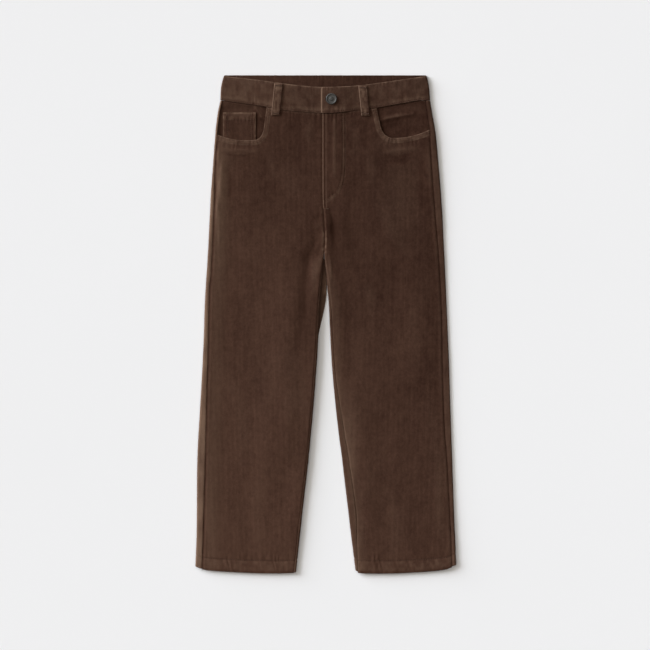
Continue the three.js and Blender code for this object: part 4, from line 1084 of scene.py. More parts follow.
# %% [markdown]
# ## The waistband
# The band is one strip that goes round the waist: from its hidden end at the fly, round the right
# side, along the back and round the left side to the lapped end. Its mesh is a ring of points, the
# band's own section, carried along that path. The cords run up and down it, so here each step along
# the path is part of a cord.

# %% The band's path and section
UNDER_END, OVER_END = 22.0, -7.0
BAND_HEIGHT = 5.8
UNDER_FACE = 2 * BAND + GAP
OVER_FACE = UNDER_FACE + GAP + BAND
LAP_RAMP, UNDER_RAMP, SLANT = (24, 45), (-60, -14), (112, 150)
BACK_LOOPS = {"right": -104, "centre": -2, "left": 100}
LOOP_RECESS, RECESS_SLACK = 1.3, 0.8
BAND_ROWS = (2.1, 33.9)
BAND_EDGE = [(0.12, 0.62), (0.45, 0.2), (0.95, 0.0)]


def ramp(x, span_of):
    return ease((x - span_of[0]) / (span_of[1] - span_of[0]))


def slant(x, down):
    """The ends of the band lean with the outline. The middle of it stands straight."""
    middle = BACK_BAND_BOTTOM / 2
    left, right = (leg.outline(down) - leg.outline(middle) for leg in (LEFT, RIGHT))
    return np.where(x < 0, right, left) * ramp(np.abs(x), SLANT)


def band_section():
    """Points round the band's section: how far from its top or bottom edge, and how deep in the cloth."""
    face = [1.5, 2.1, 2.7, 3.6, 5.5, 8.5, 12, 16, 20, 24, 27.5, 30.5, 32.4, 33.3, 33.9, 34.5, 35.3]
    top = [(0, inset, depth) for inset, depth in BAND_EDGE]
    low = [(1, -inset, depth) for inset, depth in reversed(BAND_EDGE)]
    outer = top + [(at / BACK_BAND_BOTTOM, 0, 0.0) for at in face] + low + [(1, 0, BAND / 2)]
    inner = [(share, inset, BAND - depth) for share, inset, depth in reversed(outer[:-1])]
    kept = inner[:4] + inner[5:-4:2] + inner[-4:]
    return np.array(outer + kept + [(0, 0, BAND / 2)])


def band_path(t):
    """Where the band is at a length t along its path: side, place, height, and the way its face looks."""
    radius = BAND_HEIGHT / 2
    middle = BACK_BAND_BOTTOM / 2
    right, left = RIGHT.outline(middle) + radius, LEFT.outline(middle) - radius
    turn = np.pi * radius
    starts = np.cumsum([0, UNDER_END - right, turn, left - right, turn, left - OVER_END])
    leg = np.clip(np.searchsorted(starts, t, side="right") - 1, 0, 4)
    s = t - starts[leg]
    x = np.choose(leg, [UNDER_END - s, right + 0 * s, right + s, left + 0 * s, left - s])
    angle = np.choose(leg, [0 * s, s / radius, np.pi + 0 * s, np.pi - s / radius, 0 * s])
    side = np.choose(leg, [0, -1, 0, 1, 0])
    under = mix(BAND_HEIGHT, UNDER_FACE, ramp(x, UNDER_RAMP))
    over = mix(OVER_FACE, BAND_HEIGHT, ramp(x, LAP_RAMP))
    turned = radius * (1 + np.cos(angle))
    z = np.choose(leg, [under, turned, 0 * s, turned, over])
    return {"leg": leg, "x": x, "angle": angle, "side": side, "z": z, "radius": radius,
            "length": starts[-1], "from_end": starts[-1] - t}


def band_surface(path, share, inset, depth, extra=0.0):
    """Points of the band. The path holds the columns, and share, inset and depth hold the rows."""
    x, side, angle, radius = path["x"], path["side"], path["angle"], path["radius"]
    front = (path["leg"] == 0) | (path["leg"] == 4)
    on_back = path["leg"] == 2
    up, sine = np.cos(angle), np.sin(angle)
    dip = np.where(side < 0, band_top(-150.0), band_top(148.0)) * (0.5 + 0.5 * up) * (side != 0)
    corner = 3.2 * rounded(path["from_end"], 3.2)

    def edges(at):
        top = np.where(front, band_top(at) + corner, dip)
        return top, np.where(front, band_bottom(at) - corner / 4, BACK_BAND_BOTTOM)

    low, high = edges(x + 0 * share)
    low, high = edges(x + slant(x, mix(low, high, share)))
    down = mix(low, high, share) + inset
    away = radius * (1 - sine)
    edge = np.where(side > 0, LEFT.outline(down) - away, RIGHT.outline(down) + away)
    place = np.where(side != 0, edge, x + slant(x, down))
    full = depth + 0 * place
    recess = np.zeros(place.shape)
    for centre in BACK_LOOPS.values():
        past = np.abs(x - centre) - LOOP_WIDTH / 2 - RECESS_SLACK
        recess = np.maximum(recess, 1 - ease(past / 0.6))
    recess = recess * on_back * LOOP_RECESS
    full = np.where(recess > 0, recess + depth / BAND * (BAND - recess), full)
    full = full - extra
    return in_space(place - side * sine * full, down, path["z"] - up * full)


def band_detail(path, down_from_top, depth):
    """Relief of the band's outer and inner faces."""
    t = path["x"] + 1000 * path["leg"]
    outer = np.where(depth < BAND / 2, 1.0, -1.0)
    rise = 0.12 * uneven(t / 16, down_from_top / 14, 191)
    rise = rise + puckers("band's lower row", down_from_top - 32, t)
    rise = rise + puckers("band's upper row", down_from_top - 2, t)
    for row in BAND_ROWS:
        rise = rise - 0.26 * bump(down_from_top - row, 0.7)
    return rise, outer


def waist_strip():
    section = band_section()
    share, inset, depth = (section[:, k][:, None] for k in range(3))
    total = float(band_path(np.array([0.0]))["length"])
    across, pile = cords(0, total)
    inside = across < total - 0.3
    t = np.append(across[inside], [total - 0.12, total])
    pile = np.append(pile[inside], [0, 0])
    path = band_path(t)
    from_top = share * BACK_BAND_BOTTOM + inset
    rise, outer = band_detail(path, from_top, depth)
    from_edge = np.minimum(from_top, BACK_BAND_BOTTOM - from_top)
    nap = pile * crushed(t, from_top, 197) * clamp(from_edge / 1.2 + 0.25)
    lift = (rise + nap) * ((depth < 0.7) | (depth > BAND - 0.7))
    end = 1.2 * rounded(path["from_end"], 1.2)
    lift = lift - end * (np.abs(depth - BAND / 2) > 0.5)
    under = np.abs(path["angle"] - np.pi) < 0.5
    lift = np.where(under & (depth < 0.7), np.minimum(lift, 0), lift)
    points = band_surface(path, share, inset, depth, outer * lift)
    blotch = 0.65 + 0.5 * uneven(t / 6, from_top / 7, 199)
    # The band is painted lighter towards the wearer's right, the side the window light comes from: painted light.
    # Its top edge and lapped end are pale, worn and a painted sheen; a band above the lower edge is painted lighter
    # and the lower edge itself darker, painted shade.
    wear_and_painted_light = 0.24 + 0.1 * ease((-30 - path["x"]) / 20) + 0.75 * bump(from_top - 0.3, 1.0)
    wear_and_painted_light = wear_and_painted_light + 0.3 * bump(from_top - 31.5, 2.4) - 0.3 * bump(from_top - 33.9, 0.8)
    wear_and_painted_light = wear_and_painted_light * blotch * (depth < BAND / 2) + bump(path["from_end"] - 0.7, 1.5)
    rows, columns = points.shape[:2]
    ids = np.arange(rows * columns).reshape(rows, columns)
    quads, _ = tiles(np.vstack([ids, ids[:1]]))
    caps = [ids[:, :1].T[:, ::-1], ids[:, -1:].T]
    marks = {"wale": np.broadcast_to(t / WALE + 2000, (rows, columns)), "wear_and_painted_light": wear_and_painted_light + 0 * points[..., 0]}
    a, b, c = (points.reshape(-1, 3)[quads[:, k]] for k in (0, 1, 2))
    volume = (a * np.cross(b, c)).sum()
    groups = [quads, *caps]
    if volume < 0:
        groups = flipped(groups)
    piece = make_mesh("waist_strip", points.reshape(-1, 3), groups, [True, False, False], marks)
    print("waist_strip", 2 * len(quads), "triangles, volume", round(abs(volume) / 3000, 1), "cm3")
    return piece


waist_cloth = waist_strip()

# %% [markdown]
# ### The buttonhole
# A buttonhole is a slot cut through the lapped end. A Boolean modifier cuts it out of the finished
# strip, which keeps the strip's ribs up to the very edge of the slot.

# %% Cut the buttonhole
BUTTON = {"x": 8.2, "down": 34.5}
SLOT = {"from": -8.6, "to": 6.5, "width": 5.4}


def slot_outline(grow, steps=18):
    """Points round the slot, seen from above, moved outward by grow."""
    radius = SLOT["width"] / 2
    turns = np.linspace(-np.pi / 2, np.pi / 2, steps)
    x, y = (radius + grow) * np.cos(turns), (radius + grow) * np.sin(turns)
    right = np.stack([SLOT["to"] - radius + x, y], -1)
    left = np.stack([SLOT["from"] + radius - x, -y], -1)
    return np.vstack([right, left]) + (BUTTON["x"], LENGTH / 2 - BUTTON["down"])


def prism(name, outline, low, high):
    count = len(outline)
    points = np.vstack([np.column_stack([outline, np.full(count, z)]) for z in (low, high)])
    ids = np.arange(count)
    walls = np.stack([ids, np.roll(ids, -1), np.roll(ids, -1) + count, ids + count], -1)
    return make_mesh(name, points, [walls, ids[None, ::-1], ids[None] + count], [False] * 3, {})


cutter = prism("slot_cutter", slot_outline(0), UNDER_FACE + GAP / 2, OVER_FACE + 2)
cut = waist_cloth.modifiers.new("buttonhole", "BOOLEAN")
cut.operation, cut.solver, cut.object = "DIFFERENCE", "EXACT", cutter
view = bpy.context.evaluated_depsgraph_get()
with_slot = bpy.data.meshes.new_from_object(waist_cloth.evaluated_get(view))
waist_cloth.modifiers.clear()
waist_cloth.data = with_slot
bpy.data.objects.remove(cutter)
print("faces after the cut:", len(with_slot.polygons))

# %% [markdown]
# ## Belt loops
# A loop is a narrow folded strip, stitched along both edges. Its ends are turned under, so it is
# thicker there, and it bows a little between them. The loops on the back lie flush in the flat
# underside.

# %% Loops
FRONT_LOOPS = {"right": (-68.4, -72.9), "left": (53.4, 57.7)}
LOOP_FORM = table(
    "share lift thick",
    (0, 0, 1.4), (0.03, 0, 2.2), (0.16, 0, 2.2), (0.2, 0.9, 1.1), (0.5, 1.5, 1.1), (0.8, 1.1, 1.1),
    (0.85, 0.4, 2.2), (0.97, 0, 2.2), (1, 0, 1.4),
)
LOOP_TOP, LOOP_TAIL, LEAVES_BAND, STEP_DOWN = 1.2, 9.5, (0.80, 0.92), 0.6
LOOP_CORDS = 7


def loop_columns():
    numbers = np.arange(LOOP_CORDS)
    across = ((numbers[:, None] + CORD_COLUMNS).ravel() / LOOP_CORDS - 0.5) * LOOP_WIDTH
    pile = np.tile(CORD_DEPTHS, LOOP_CORDS)
    return np.append(across, LOOP_WIDTH / 2), np.append(pile, CORD_DEPTHS[0]) * 0.8


def loop_relief(across, along, length, more):
    edge = LOOP_WIDTH / 2 - np.abs(across)
    end = np.minimum(along, length - along)
    rise = -0.6 * rounded(edge, 1.0) - 0.28 * bump(edge - 2.1, 0.7)
    rise = rise - 0.5 * rounded(end, 1.2) - 0.35 * bump(end - 3.4, 1.3)
    return rise + puckers("belt loop", edge - 2, along, more), edge, end


def front_loop_surface(name, across, share):
    """Height of a front loop's face, and its middle line."""
    leg = RIGHT if name == "right" else LEFT
    top_x, low_x = FRONT_LOOPS[name]
    start, stop = band_top(top_x) + LOOP_TOP, band_bottom(low_x) + LOOP_TAIL
    middle, down = mix(top_x, low_x, share), mix(start, stop, share)
    panel = np.maximum(face_height(leg, middle, down), BAND_HEIGHT - STEP_DOWN)
    under = mix(BAND_HEIGHT, panel, ramp(share, LEAVES_BAND)) + GAP
    form = [np.interp(share, LOOP_FORM["share"], LOOP_FORM[k]) for k in ("lift", "thick")]
    length = float(stop - start)
    rise, edge, end = loop_relief(across, share * length, length, len(name))
    return middle + across, down, under + form[0] + form[1] + rise, form[1] + rise, edge, end


def close_ends(length, end, fine, coarse):
    """Rows along a loop, close together at both of its turned ends."""
    spans = (0, end, fine), (end, length - end, coarse), (length - end, length, fine)
    return np.append(np.concatenate([np.linspace(a, b, n)[:-1] for a, b, n in spans]), length)


def front_loop(name):
    across, pile = loop_columns()
    share = close_ends(1, 0.05, 7, 48)
    across, share = np.broadcast_arrays(across, share[:, None])
    x, down, z, thick, edge, end = front_loop_surface(name, across, share)
    blotch = 0.7 + 0.5 * uneven(x / 3, down / 5, 205)
    # The loop is painted paler than the band, most at its turned ends, for wear and a painted sheen; the edge
    # towards the light gets a painted highlight and the other edge painted shade.
    wear_and_painted_light = blotch * (0.55 + 0.3 * bump(end - 0.3, 1.0) + 0.3 * bump(end - 7, 3))
    lit_edge, shaded_edge = across + LOOP_WIDTH / 2 - 0.5, across - LOOP_WIDTH / 2 + 1
    wear_and_painted_light = wear_and_painted_light + 0.5 * bump(lit_edge, 1.2) - 0.3 * bump(shaded_edge, 1.5)
    marks = {"wale": across / LOOP_WIDTH * LOOP_CORDS + 3000, "wear_and_painted_light": wear_and_painted_light}
    points = in_space(x, down, z + pile)
    return shell(f"belt_loop_strip_{name}", points, straight(x), thick + pile, marks=marks)


def back_loop(name):
    across, pile = loop_columns()
    length = BACK_BAND_BOTTOM - 1.2
    across, along = np.broadcast_arrays(across, close_ends(length, 1.6, 6, 24)[:, None])
    rise, edge, _ = loop_relief(across, along, length, 10)
    z = -np.minimum(rise + pile, 0)
    points = in_space(BACK_LOOPS[name] + across, 0.6 + along, z)
    marks = {"wale": across / LOOP_WIDTH * LOOP_CORDS + 3200, "wear_and_painted_light": 0.3 + 0.5 * bump(edge - 0.3, 1.0)}
    thick = LOOP_RECESS - GAP - z
    return shell(f"belt_loop_strip_back_{name}", points, straight(across, -1.0), thick, marks=marks)


front_loops = {name: front_loop(name) for name in FRONT_LOOPS}
back_loops = {name: back_loop(name) for name in BACK_LOOPS}

# %% [markdown]
# ## The button
# A jeans button is pressed from sheet metal: a rolled rim, a sunk ring and a small boss where the
# shank is riveted. Turning one profile about its axis gives it, as on a lathe.

# %% Turn the button
# Radius and height of each point, from the shank's foot round the rim to the boss.
BUTTON_PROFILE = [
    (0, 5.4), (2.2, 5.4), (2.2, 8.1), (6.4, 8.1), (7.3, 8.2), (7.8, 8.55), (8.0, 9.05), (7.97, 9.55),
    (7.8, 10.0), (7.5, 10.32), (7.1, 10.48), (6.7, 10.44), (6.35, 10.2), (6.1, 9.9), (5.7, 9.72),
    (5.0, 9.66), (3.8, 9.66), (2.9, 9.7), (2.55, 9.85), (2.35, 10.15), (2.05, 10.36), (1.5, 10.42),
    (0.9, 10.3), (0, 10.26),
]


def turned_button(segments=72):
    angles = np.linspace(0, 2 * np.pi, segments, endpoint=False)
    profile = np.array(BUTTON_PROFILE)
    rings = np.stack([
        BUTTON["x"] + profile[:, :1] * np.cos(angles),
        LENGTH / 2 - BUTTON["down"] + profile[:, :1] * np.sin(angles),
        profile[:, 1:] + 0 * angles,
    ], -1)
    ids = np.arange(rings.shape[0] * segments).reshape(-1, segments)
    ids[0], ids[-1] = ids[0, 0], ids[-1, 0]
    quads, threes = tiles(np.hstack([ids, ids[:, :1]]))
    piece = make_mesh("shank_button", rings.reshape(-1, 3), [quads, threes], [True, True], {})
    print("button", 2 * len(quads) + len(threes), "triangles")
    return piece


metal_button = turned_button()

# %% [markdown]
# ## Stitches
# Every row of sewing is real thread: short arches that come up out of the cloth and go down again.
# One call places them all in arrays, because a thousand separate objects would be slow. The rows
# follow the same surfaces as the panels, so each stitch lies in its own small groove.

# %% Threads from arrays
STITCH, SPACE, THREAD = 2.5, 0.75, 0.24
ARCH = table("share height size", (0, -0.3, 0.8), (0.2, 0.06, 1.0), (0.8, 0.06, 1.0), (1, -0.3, 0.8))
sewing = {"starts": [], "ends": [], "ups": [], "radii": []}


def sew(starts, ends, ups, radius=THREAD):
    starts, ends = np.asarray(starts, float), np.asarray(ends, float)
    sewing["starts"].append(starts)
    sewing["ends"].append(ends)
    sewing["ups"].append(np.broadcast_to(ups, starts.shape))
    sewing["radii"].append(np.full(len(starts), radius))


def sew_row(points, ups=(0, 0, 1), stitch=STITCH, space=SPACE):
    """A row of stitches along points in millimetres."""
    points = np.asarray(points, float)
    ups = np.broadcast_to(np.asarray(ups, float), points.shape)
    along = np.concatenate([[0], np.cumsum(np.linalg.norm(np.diff(points, axis=0), axis=1))])
    begin = np.arange(0.4, along[-1] - stitch, stitch + space)
    at = [np.stack([np.interp(t, along, points[:, k]) for k in range(3)], -1) for t in (begin, begin + stitch)]
    up = np.stack([np.interp(begin + stitch / 2, along, ups[:, k]) for k in range(3)], -1)
    sew(at[0], at[1], up / np.linalg.norm(up, axis=1, keepdims=True))


def bar_tack(a, b, up=(0, 0, 1), width=1.7, count=15):
    """A short dense zigzag from a to b, as a machine sews over the end of a loop or a fly."""
    a, b, up = (np.asarray(v, float) for v in (a, b, up))
    share = np.linspace(0, 1, count)[:, None]
    middle = a + (b - a) * share
    across = np.cross(up, b - a)
    across *= width / 2 / np.linalg.norm(across)
    swing = (b - a) / count * 0.45
    sew(middle - across - swing, middle + across + swing, up, 0.26)


def thread_mesh(name, sides=5):
    starts, ends, ups = (np.concatenate(sewing[k]) for k in ("starts", "ends", "ups"))
    radii = np.concatenate(sewing["radii"])
    way = ends - starts
    side = np.cross(way, ups)
    side /= np.linalg.norm(side, axis=1, keepdims=True)
    share = ARCH["share"][None, :, None]
    centres = starts[:, None] + way[:, None] * share + ups[:, None] * ARCH["height"][None, :, None]
    angles = np.linspace(0, 2 * np.pi, sides, endpoint=False)
    ring = side[:, None, None] * np.cos(angles)[:, None] + ups[:, None, None] * np.sin(angles)[:, None]
    size = radii[:, None, None, None] * ARCH["size"][None, :, None, None]
    points = centres[:, :, None] + ring * size
    ids = np.arange(points[..., 0].size).reshape(points.shape[:3])
    turned = np.roll(ids, -1, axis=2)
    walls = np.stack([ids[:, :-1], turned[:, :-1], turned[:, 1:], ids[:, 1:]], -1).reshape(-1, 4)
    caps = [ids[:, 0, ::-1], ids[:, -1]]
    piece = make_mesh(name, points.reshape(-1, 3), [walls, *caps], [True, False, False], {})
    print(name, len(starts), "stitches,", 2 * len(walls) + 2 * (sides - 2) * len(starts), "triangles")
    return piece


# %% Sew the fronts
def on_front(leg, spots, lift=0.0):
    x, down = np.array(spots, float).T
    return in_space(x, down + hem_shift(leg, x, down), front_surface(leg, x, down) + lift)


for leg in (RIGHT, LEFT):
    for row in MOUTH_ROWS:
        sew_row(on_front(leg, leg.mouth_line.beside(-leg.hand * row, 1.5), 0.05))
    inside = [leg.outline(LENGTH) - leg.hand * (leg.side_inset(LENGTH) + 1.5),
              leg.inner_x(LENGTH) + leg.hand * (leg.inseam_inset(LENGTH) + 1.5)]
    run = np.linspace(*inside, 300)
    sew_row(on_front(leg, np.stack([run, np.full(300, LENGTH - HEM_ROW)], -1), 0.08))
for row in FLY_ROWS:
    sew_row(on_front(LEFT, FLY_STITCHING.beside(row, 2.0), 0.05))
tack = on_front(LEFT, [(-3.0, 193.4), (4.2, 193.4)], 0.1)
bar_tack(tack[0], tack[1])

# %% Sew the backs' hems, seen and unseen
for leg in (RIGHT, LEFT):
    level = LENGTH - HEM_ROW
    for away, radius, sign, base in (
        (leg.side_inset(level), leg.side_height(level) / 2, leg.hand, leg.outline(level)),
        (leg.inseam_inset(level), leg.inner_height(level) / 2, -leg.hand, leg.inner_x(level)),
    ):
        s = np.linspace(1.2, float(np.maximum(0, away - radius) + np.pi * radius), 60)
        gone, z, angle = back_end(radius, away, 1, s)
        x = base - sign * gone
        down = level + hem_shift(leg, x, level) - leg.hem_rise * near_hem(level)
        ups = np.stack([sign * np.sin(angle), 0 * angle, np.cos(angle)], -1)
        sew_row(in_space(x, down, z) - 0.35 * ups, ups)
    run = np.linspace(leg.outline(level) - leg.hand * 4, leg.inner_x(level) + leg.hand * 4, 200)
    down = level + hem_shift(leg, run, level) - leg.hem_rise * near_hem(level)
    sew_row(in_space(run, down, 0.42), (0, 0, -1))

# %% Sew the coin pocket and the waistband
def on_coin(spots):
    x, down = np.array(spots, float).T
    return in_space(x, down, coin_surface(x, down)[0] + 0.05)


run = np.linspace(COIN["x"] + 1, COIN["to_x"] - 1, 120)
sew_row(on_coin(np.stack([run, np.full(120, COIN_HEM)], -1)))
for side in COIN_SIDES:
    run = np.linspace(COIN["down"] + 1, 97, 90)
    sew_row(on_coin(np.stack([np.full(90, side), run], -1)), stitch=2.1)

band_length = float(band_path(np.array([0.0]))["length"])
for row in BAND_ROWS:
    t = np.linspace(3, band_length - 3, 3000)
    path = band_path(t)
    share, face = np.array([[row / BACK_BAND_BOTTOM]]), np.zeros((1, 1))
    rise, _ = band_detail(path, share * BACK_BAND_BOTTOM, face)
    points = band_surface(path, share, face, face, np.minimum(rise, 0.0) - 0.12)
    ups = np.stack([path["side"] * np.sin(path["angle"]), 0 * t, np.cos(path["angle"])], -1)
    sew_row(points[0], ups)
end = band_path(np.array([band_length - 2.4]))
share = np.linspace(0.1, 0.9, 60)[:, None]
sew_row(band_surface(end, share, 0 * share, 0 * share, 0.05)[:, 0])

# %% Sew the loops and the buttonhole
for name in FRONT_LOOPS:
    for edge in (-1, 1):
        share = np.linspace(0.04, 0.96, 120)
        across = np.full(120, edge * (LOOP_WIDTH / 2 - 2.1))
        x, down, z, *_ = front_loop_surface(name, across, share)
        sew_row(in_space(x, down, z + 0.02), stitch=2.2)
    for share in (0.07, 0.935):
        x, down, z, *_ = front_loop_surface(name, np.array([-4.8, 4.8]), np.full(2, share))
        ends = in_space(x, down, z + 0.12)
        bar_tack(ends[0], ends[1], width=1.9, count=20)
for name, centre in BACK_LOOPS.items():
    for edge in (-1, 1):
        x = centre + edge * (LOOP_WIDTH / 2 - 2.1)
        sew_row([(x, LENGTH / 2 - 2.5, 0.45), (x, LENGTH / 2 - 33.5, 0.45)], (0, 0, -1), stitch=2.2)

inner, outer = slot_outline(0.15, 14), slot_outline(1.55, 14)
lap = np.full(len(inner), OVER_FACE - 0.05)
sew(np.column_stack([inner, lap]), np.column_stack([outer, lap]), (0, 0, 1), 0.27)
lines = np.stack([np.linspace(inner[13], inner[14], 24), np.linspace(inner[-1], inner[0], 24)])
lines_out = np.stack([np.linspace(outer[13], outer[14], 24), np.linspace(outer[-1], outer[0], 24)])
for near, far in zip(lines, lines_out):
    lap = np.full(24, OVER_FACE - 0.05)
    sew(np.column_stack([near, lap]), np.column_stack([far, lap]), (0, 0, 1), 0.27)
stitches = thread_mesh("stitches")

# %% [markdown]
# ## Writing a material as sums
# A shader is a network of nodes. Here a small class wraps a node's socket, so that a mask can be
# written as ordinary arithmetic and still become Math nodes. Colours go through Mix nodes, because
# a Math node would turn them grey.


# %% Readings and finishes
class Reading:
    """A number that varies over a surface."""

    def __init__(self, finish, socket):
        self.finish, self.socket = finish, socket

    def sum_with(self, operation, other, swapped=False):
        first, second = (other, self) if swapped else (self, other)
        return self.finish.read("ShaderNodeMath", {"operation": operation}, {0: first, 1: second})

    def __add__(self, other):
        return self.sum_with("ADD", other)

    def __sub__(self, other):
        return self.sum_with("SUBTRACT", other)

    def __rsub__(self, other):
        return self.sum_with("SUBTRACT", other, True)

    def __mul__(self, other):
        return self.sum_with("MULTIPLY", other)

    def __truediv__(self, other):
        return self.sum_with("DIVIDE", other)

    def __pow__(self, other):
        return self.sum_with("POWER", other)

    __radd__ = __add__
    __rmul__ = __mul__


class Finish:
    """A material while its nodes are being laid out."""

    def __init__(self, name):
        self.material = bpy.data.materials.new(name)
        self.material.use_nodes = True
        self.tree = self.material.node_tree
        self.surface = self.tree.nodes["Principled BSDF"]

    def feed(self, socket, value):
        if isinstance(value, Reading):
            self.tree.links.new(value.socket, socket)
        else:
            socket.default_value = value

    def read(self, kind, settings=None, sockets=None, output=0):
        node = self.tree.nodes.new(kind)
        for setting, value in (settings or {}).items():
            setattr(node, setting, value)
        for socket, value in (sockets or {}).items():
            self.feed(node.inputs[socket], value)
        return Reading(self, node.outputs[output])

    def colour(self, factor, a, b, blend="MIX"):
        settings = {"data_type": "RGBA", "blend_type": blend, "clamp_factor": True}
        return self.read("ShaderNodeMix", settings, {0: factor, 6: a, 7: b}, 2)

    def clamped(self, value, low=0.0, high=1.0):
        return self.read("ShaderNodeClamp", {}, {"Value": value, "Min": low, "Max": high})

    def scaled(self, place, sizes):
        return self.read("ShaderNodeVectorMath", {"operation": "MULTIPLY"}, {0: place, 1: sizes})

    def noise(self, vector, scale, detail=2.0, roughness=0.5):
        sockets = {"Vector": vector, "Scale": scale, "Detail": detail, "Roughness": roughness}
        return self.read("ShaderNodeTexNoise", {}, sockets)

    def dress(self, **sockets):
        for socket, value in sockets.items():
            self.feed(self.surface.inputs[socket.replace("_", " ")], value)
        return self.material


# %% [markdown]
# ## The corduroy finish
# Pile catches the light on the top of each cord and swallows it in the grooves, which are also
# painted darker as painted shade. Each cord has its own shade, because the nap lies a little
# differently, and larger patches are pressed lighter or darker. The turned edges are pale, partly
# worn and partly a painted sheen. Painted highlights lie on folds and slopes that face the window
# light, painted shade lies in troughs, hollows and beside edges, and the whole cloth is painted
# lighter towards the wearer's right leg. A constant sheen gives the soft glow of pile at a low angle.

# %% Corduroy
def brown(r, g, b, shade=1.0):
    return (r * shade, g * shade, b * shade, 1.0)


def corduroy(name, shade=1.0):
    f = Finish(name)
    place = f.read("ShaderNodeTexCoord", output="Object")
    wale = f.read("ShaderNodeAttribute", {"attribute_name": "wale"}, output="Fac")
    wear_and_painted_light = f.read("ShaderNodeAttribute", {"attribute_name": "wear_and_painted_light"}, output="Fac")
    share = f.read("ShaderNodeMath", {"operation": "FRACT"}, {0: wale})
    from_crest = f.read("ShaderNodeMath", {"operation": "ABSOLUTE"}, {0: share - 0.5}) * 2
    groove = f.clamped((from_crest - 0.62) * 2.8)
    number = f.read("ShaderNodeMath", {"operation": "FLOOR"}, {0: wale})
    own = f.read("ShaderNodeTexWhiteNoise", {"noise_dimensions": "1D"}, {"W": number})
    along = f.read("ShaderNodeSeparateXYZ", {}, {"Vector": place}, 1)
    short = f.noise(f.read("ShaderNodeCombineXYZ", {}, {"X": wale * 0.5, "Y": along * 55.0}), 1.0, 3.0, 0.6)
    long = f.noise(f.read("ShaderNodeCombineXYZ", {}, {"X": wale * 0.22, "Y": along * 8.0}), 1.0, 2.0, 0.5)
    patch = f.noise(f.scaled(place, (13.0, 7.0, 13.0)), 1.0, 3.0, 0.55)
    # Painted light: the tone rises towards the wearer's right leg, on the side the window light comes from, and also
    # towards the hems.
    fade = f.read("ShaderNodeVectorMath", {"operation": "DOT_PRODUCT"}, {0: place, 1: (-1.25, -0.65, 0)}, 1)
    fibre = f.noise(f.scaled(place, (1500.0, 520.0, 1500.0)), 1.0, 2.0, 0.6)
    pile = f.noise(f.scaled(place, (300.0, 250.0, 300.0)), 1.0, 3.0, 0.65)
    mottle = f.noise(f.scaled(place, (130.0, 105.0, 130.0)), 1.0, 2.0, 0.5)
    tone = f.clamped(
        fade + 0.5 + (short - 0.5) * 0.25 + (long - 0.5) * 0.25 + (own - 0.5) * 0.06 + (patch - 0.5) * 0.8
        + (mottle - 0.5) * 0.7 + (pile - 0.5) * 0.7 + (fibre - 0.5) * 0.4
    )
    nap = f.colour(tone, brown(0.0287, 0.0108, 0.0058, shade), brown(0.0785, 0.0383, 0.0240, shade))
    # Painted shade: the grooves between the cords are mixed towards a darker brown.
    nap = f.colour(groove * 0.36, nap, brown(0.015, 0.0065, 0.0040, shade))
    # Where the mark is above zero a pale colour is mixed in: worn edges, and painted highlights and painted sheen on
    # folds, edges and slopes that face the light.
    worn = f.clamped(wear_and_painted_light * (0.45 + fibre * 0.4 + pile * 0.5))
    nap = f.colour(worn * 0.85, nap, brown(0.165, 0.101, 0.067, shade))
    # Where the mark is below zero the colour is painted dark: painted shade in troughs, seams, stitch grooves and
    # hollows, and painted shadows beside edges.
    nap = f.colour(f.clamped(0 - wear_and_painted_light), nap, brown(0.0175, 0.0053, 0.0016, shade))
    height = fibre * 0.6 + pile * 0.4
    normal = f.read("ShaderNodeBump", {}, {"Strength": 0.35, "Distance": 0.0004, "Height": height})
    return f.dress(
        Base_Color=nap, Roughness=0.93, Normal=normal, Specular_IOR_Level=0.12,
        Sheen_Weight=0.16, Sheen_Roughness=0.4, Sheen_Tint=brown(0.63, 0.435, 0.31),
    )


corduroy_finish = corduroy("fine_wale_corduroy")

# %% Thread and button metal
f = Finish("brown_thread")
place = f.read("ShaderNodeTexCoord", output="Object")
twist = f.noise(f.scaled(place, (2600.0, 2600.0, 2600.0)), 1.0, 2.0)
tone = f.noise(f.scaled(place, (60.0, 60.0, 60.0)), 1.0, 2.0)
colour = f.colour(f.clamped(twist * 0.6 + tone * 0.5), brown(0.040, 0.020, 0.0130), brown(0.105, 0.060, 0.040))
normal = f.read("ShaderNodeBump", {}, {"Strength": 0.4, "Distance": 0.0002, "Height": twist})
thread_finish = f.dress(Base_Color=colour, Roughness=0.75, Normal=normal, Specular_IOR_Level=0.15)

f = Finish("gunmetal")
place = f.read("ShaderNodeTexCoord", output="Object")
worn = f.noise(f.scaled(place, (900.0, 900.0, 900.0)), 1.0, 4.0, 0.6)
cloudy = f.noise(f.scaled(place, (160.0, 160.0, 160.0)), 1.0, 3.0)
colour = f.colour(f.clamped(cloudy * 0.7 + worn * 0.4), brown(0.030, 0.029, 0.027), brown(0.085, 0.081, 0.074))
normal = f.read("ShaderNodeBump", {}, {"Strength": 0.25, "Distance": 0.0002, "Height": worn})
metal_finish = f.dress(Base_Color=colour, Metallic=0.6, Roughness=0.48 + worn * 0.2, Normal=normal)
print("finishes:", [m.name for m in (corduroy_finish, thread_finish, metal_finish)])

# %% [markdown]
# ## Finishes, the body, and the solids that the pieces replace
# Every piece gets its finish, rides on the one body, and stands for the solid that it was made from,
# which is hidden.

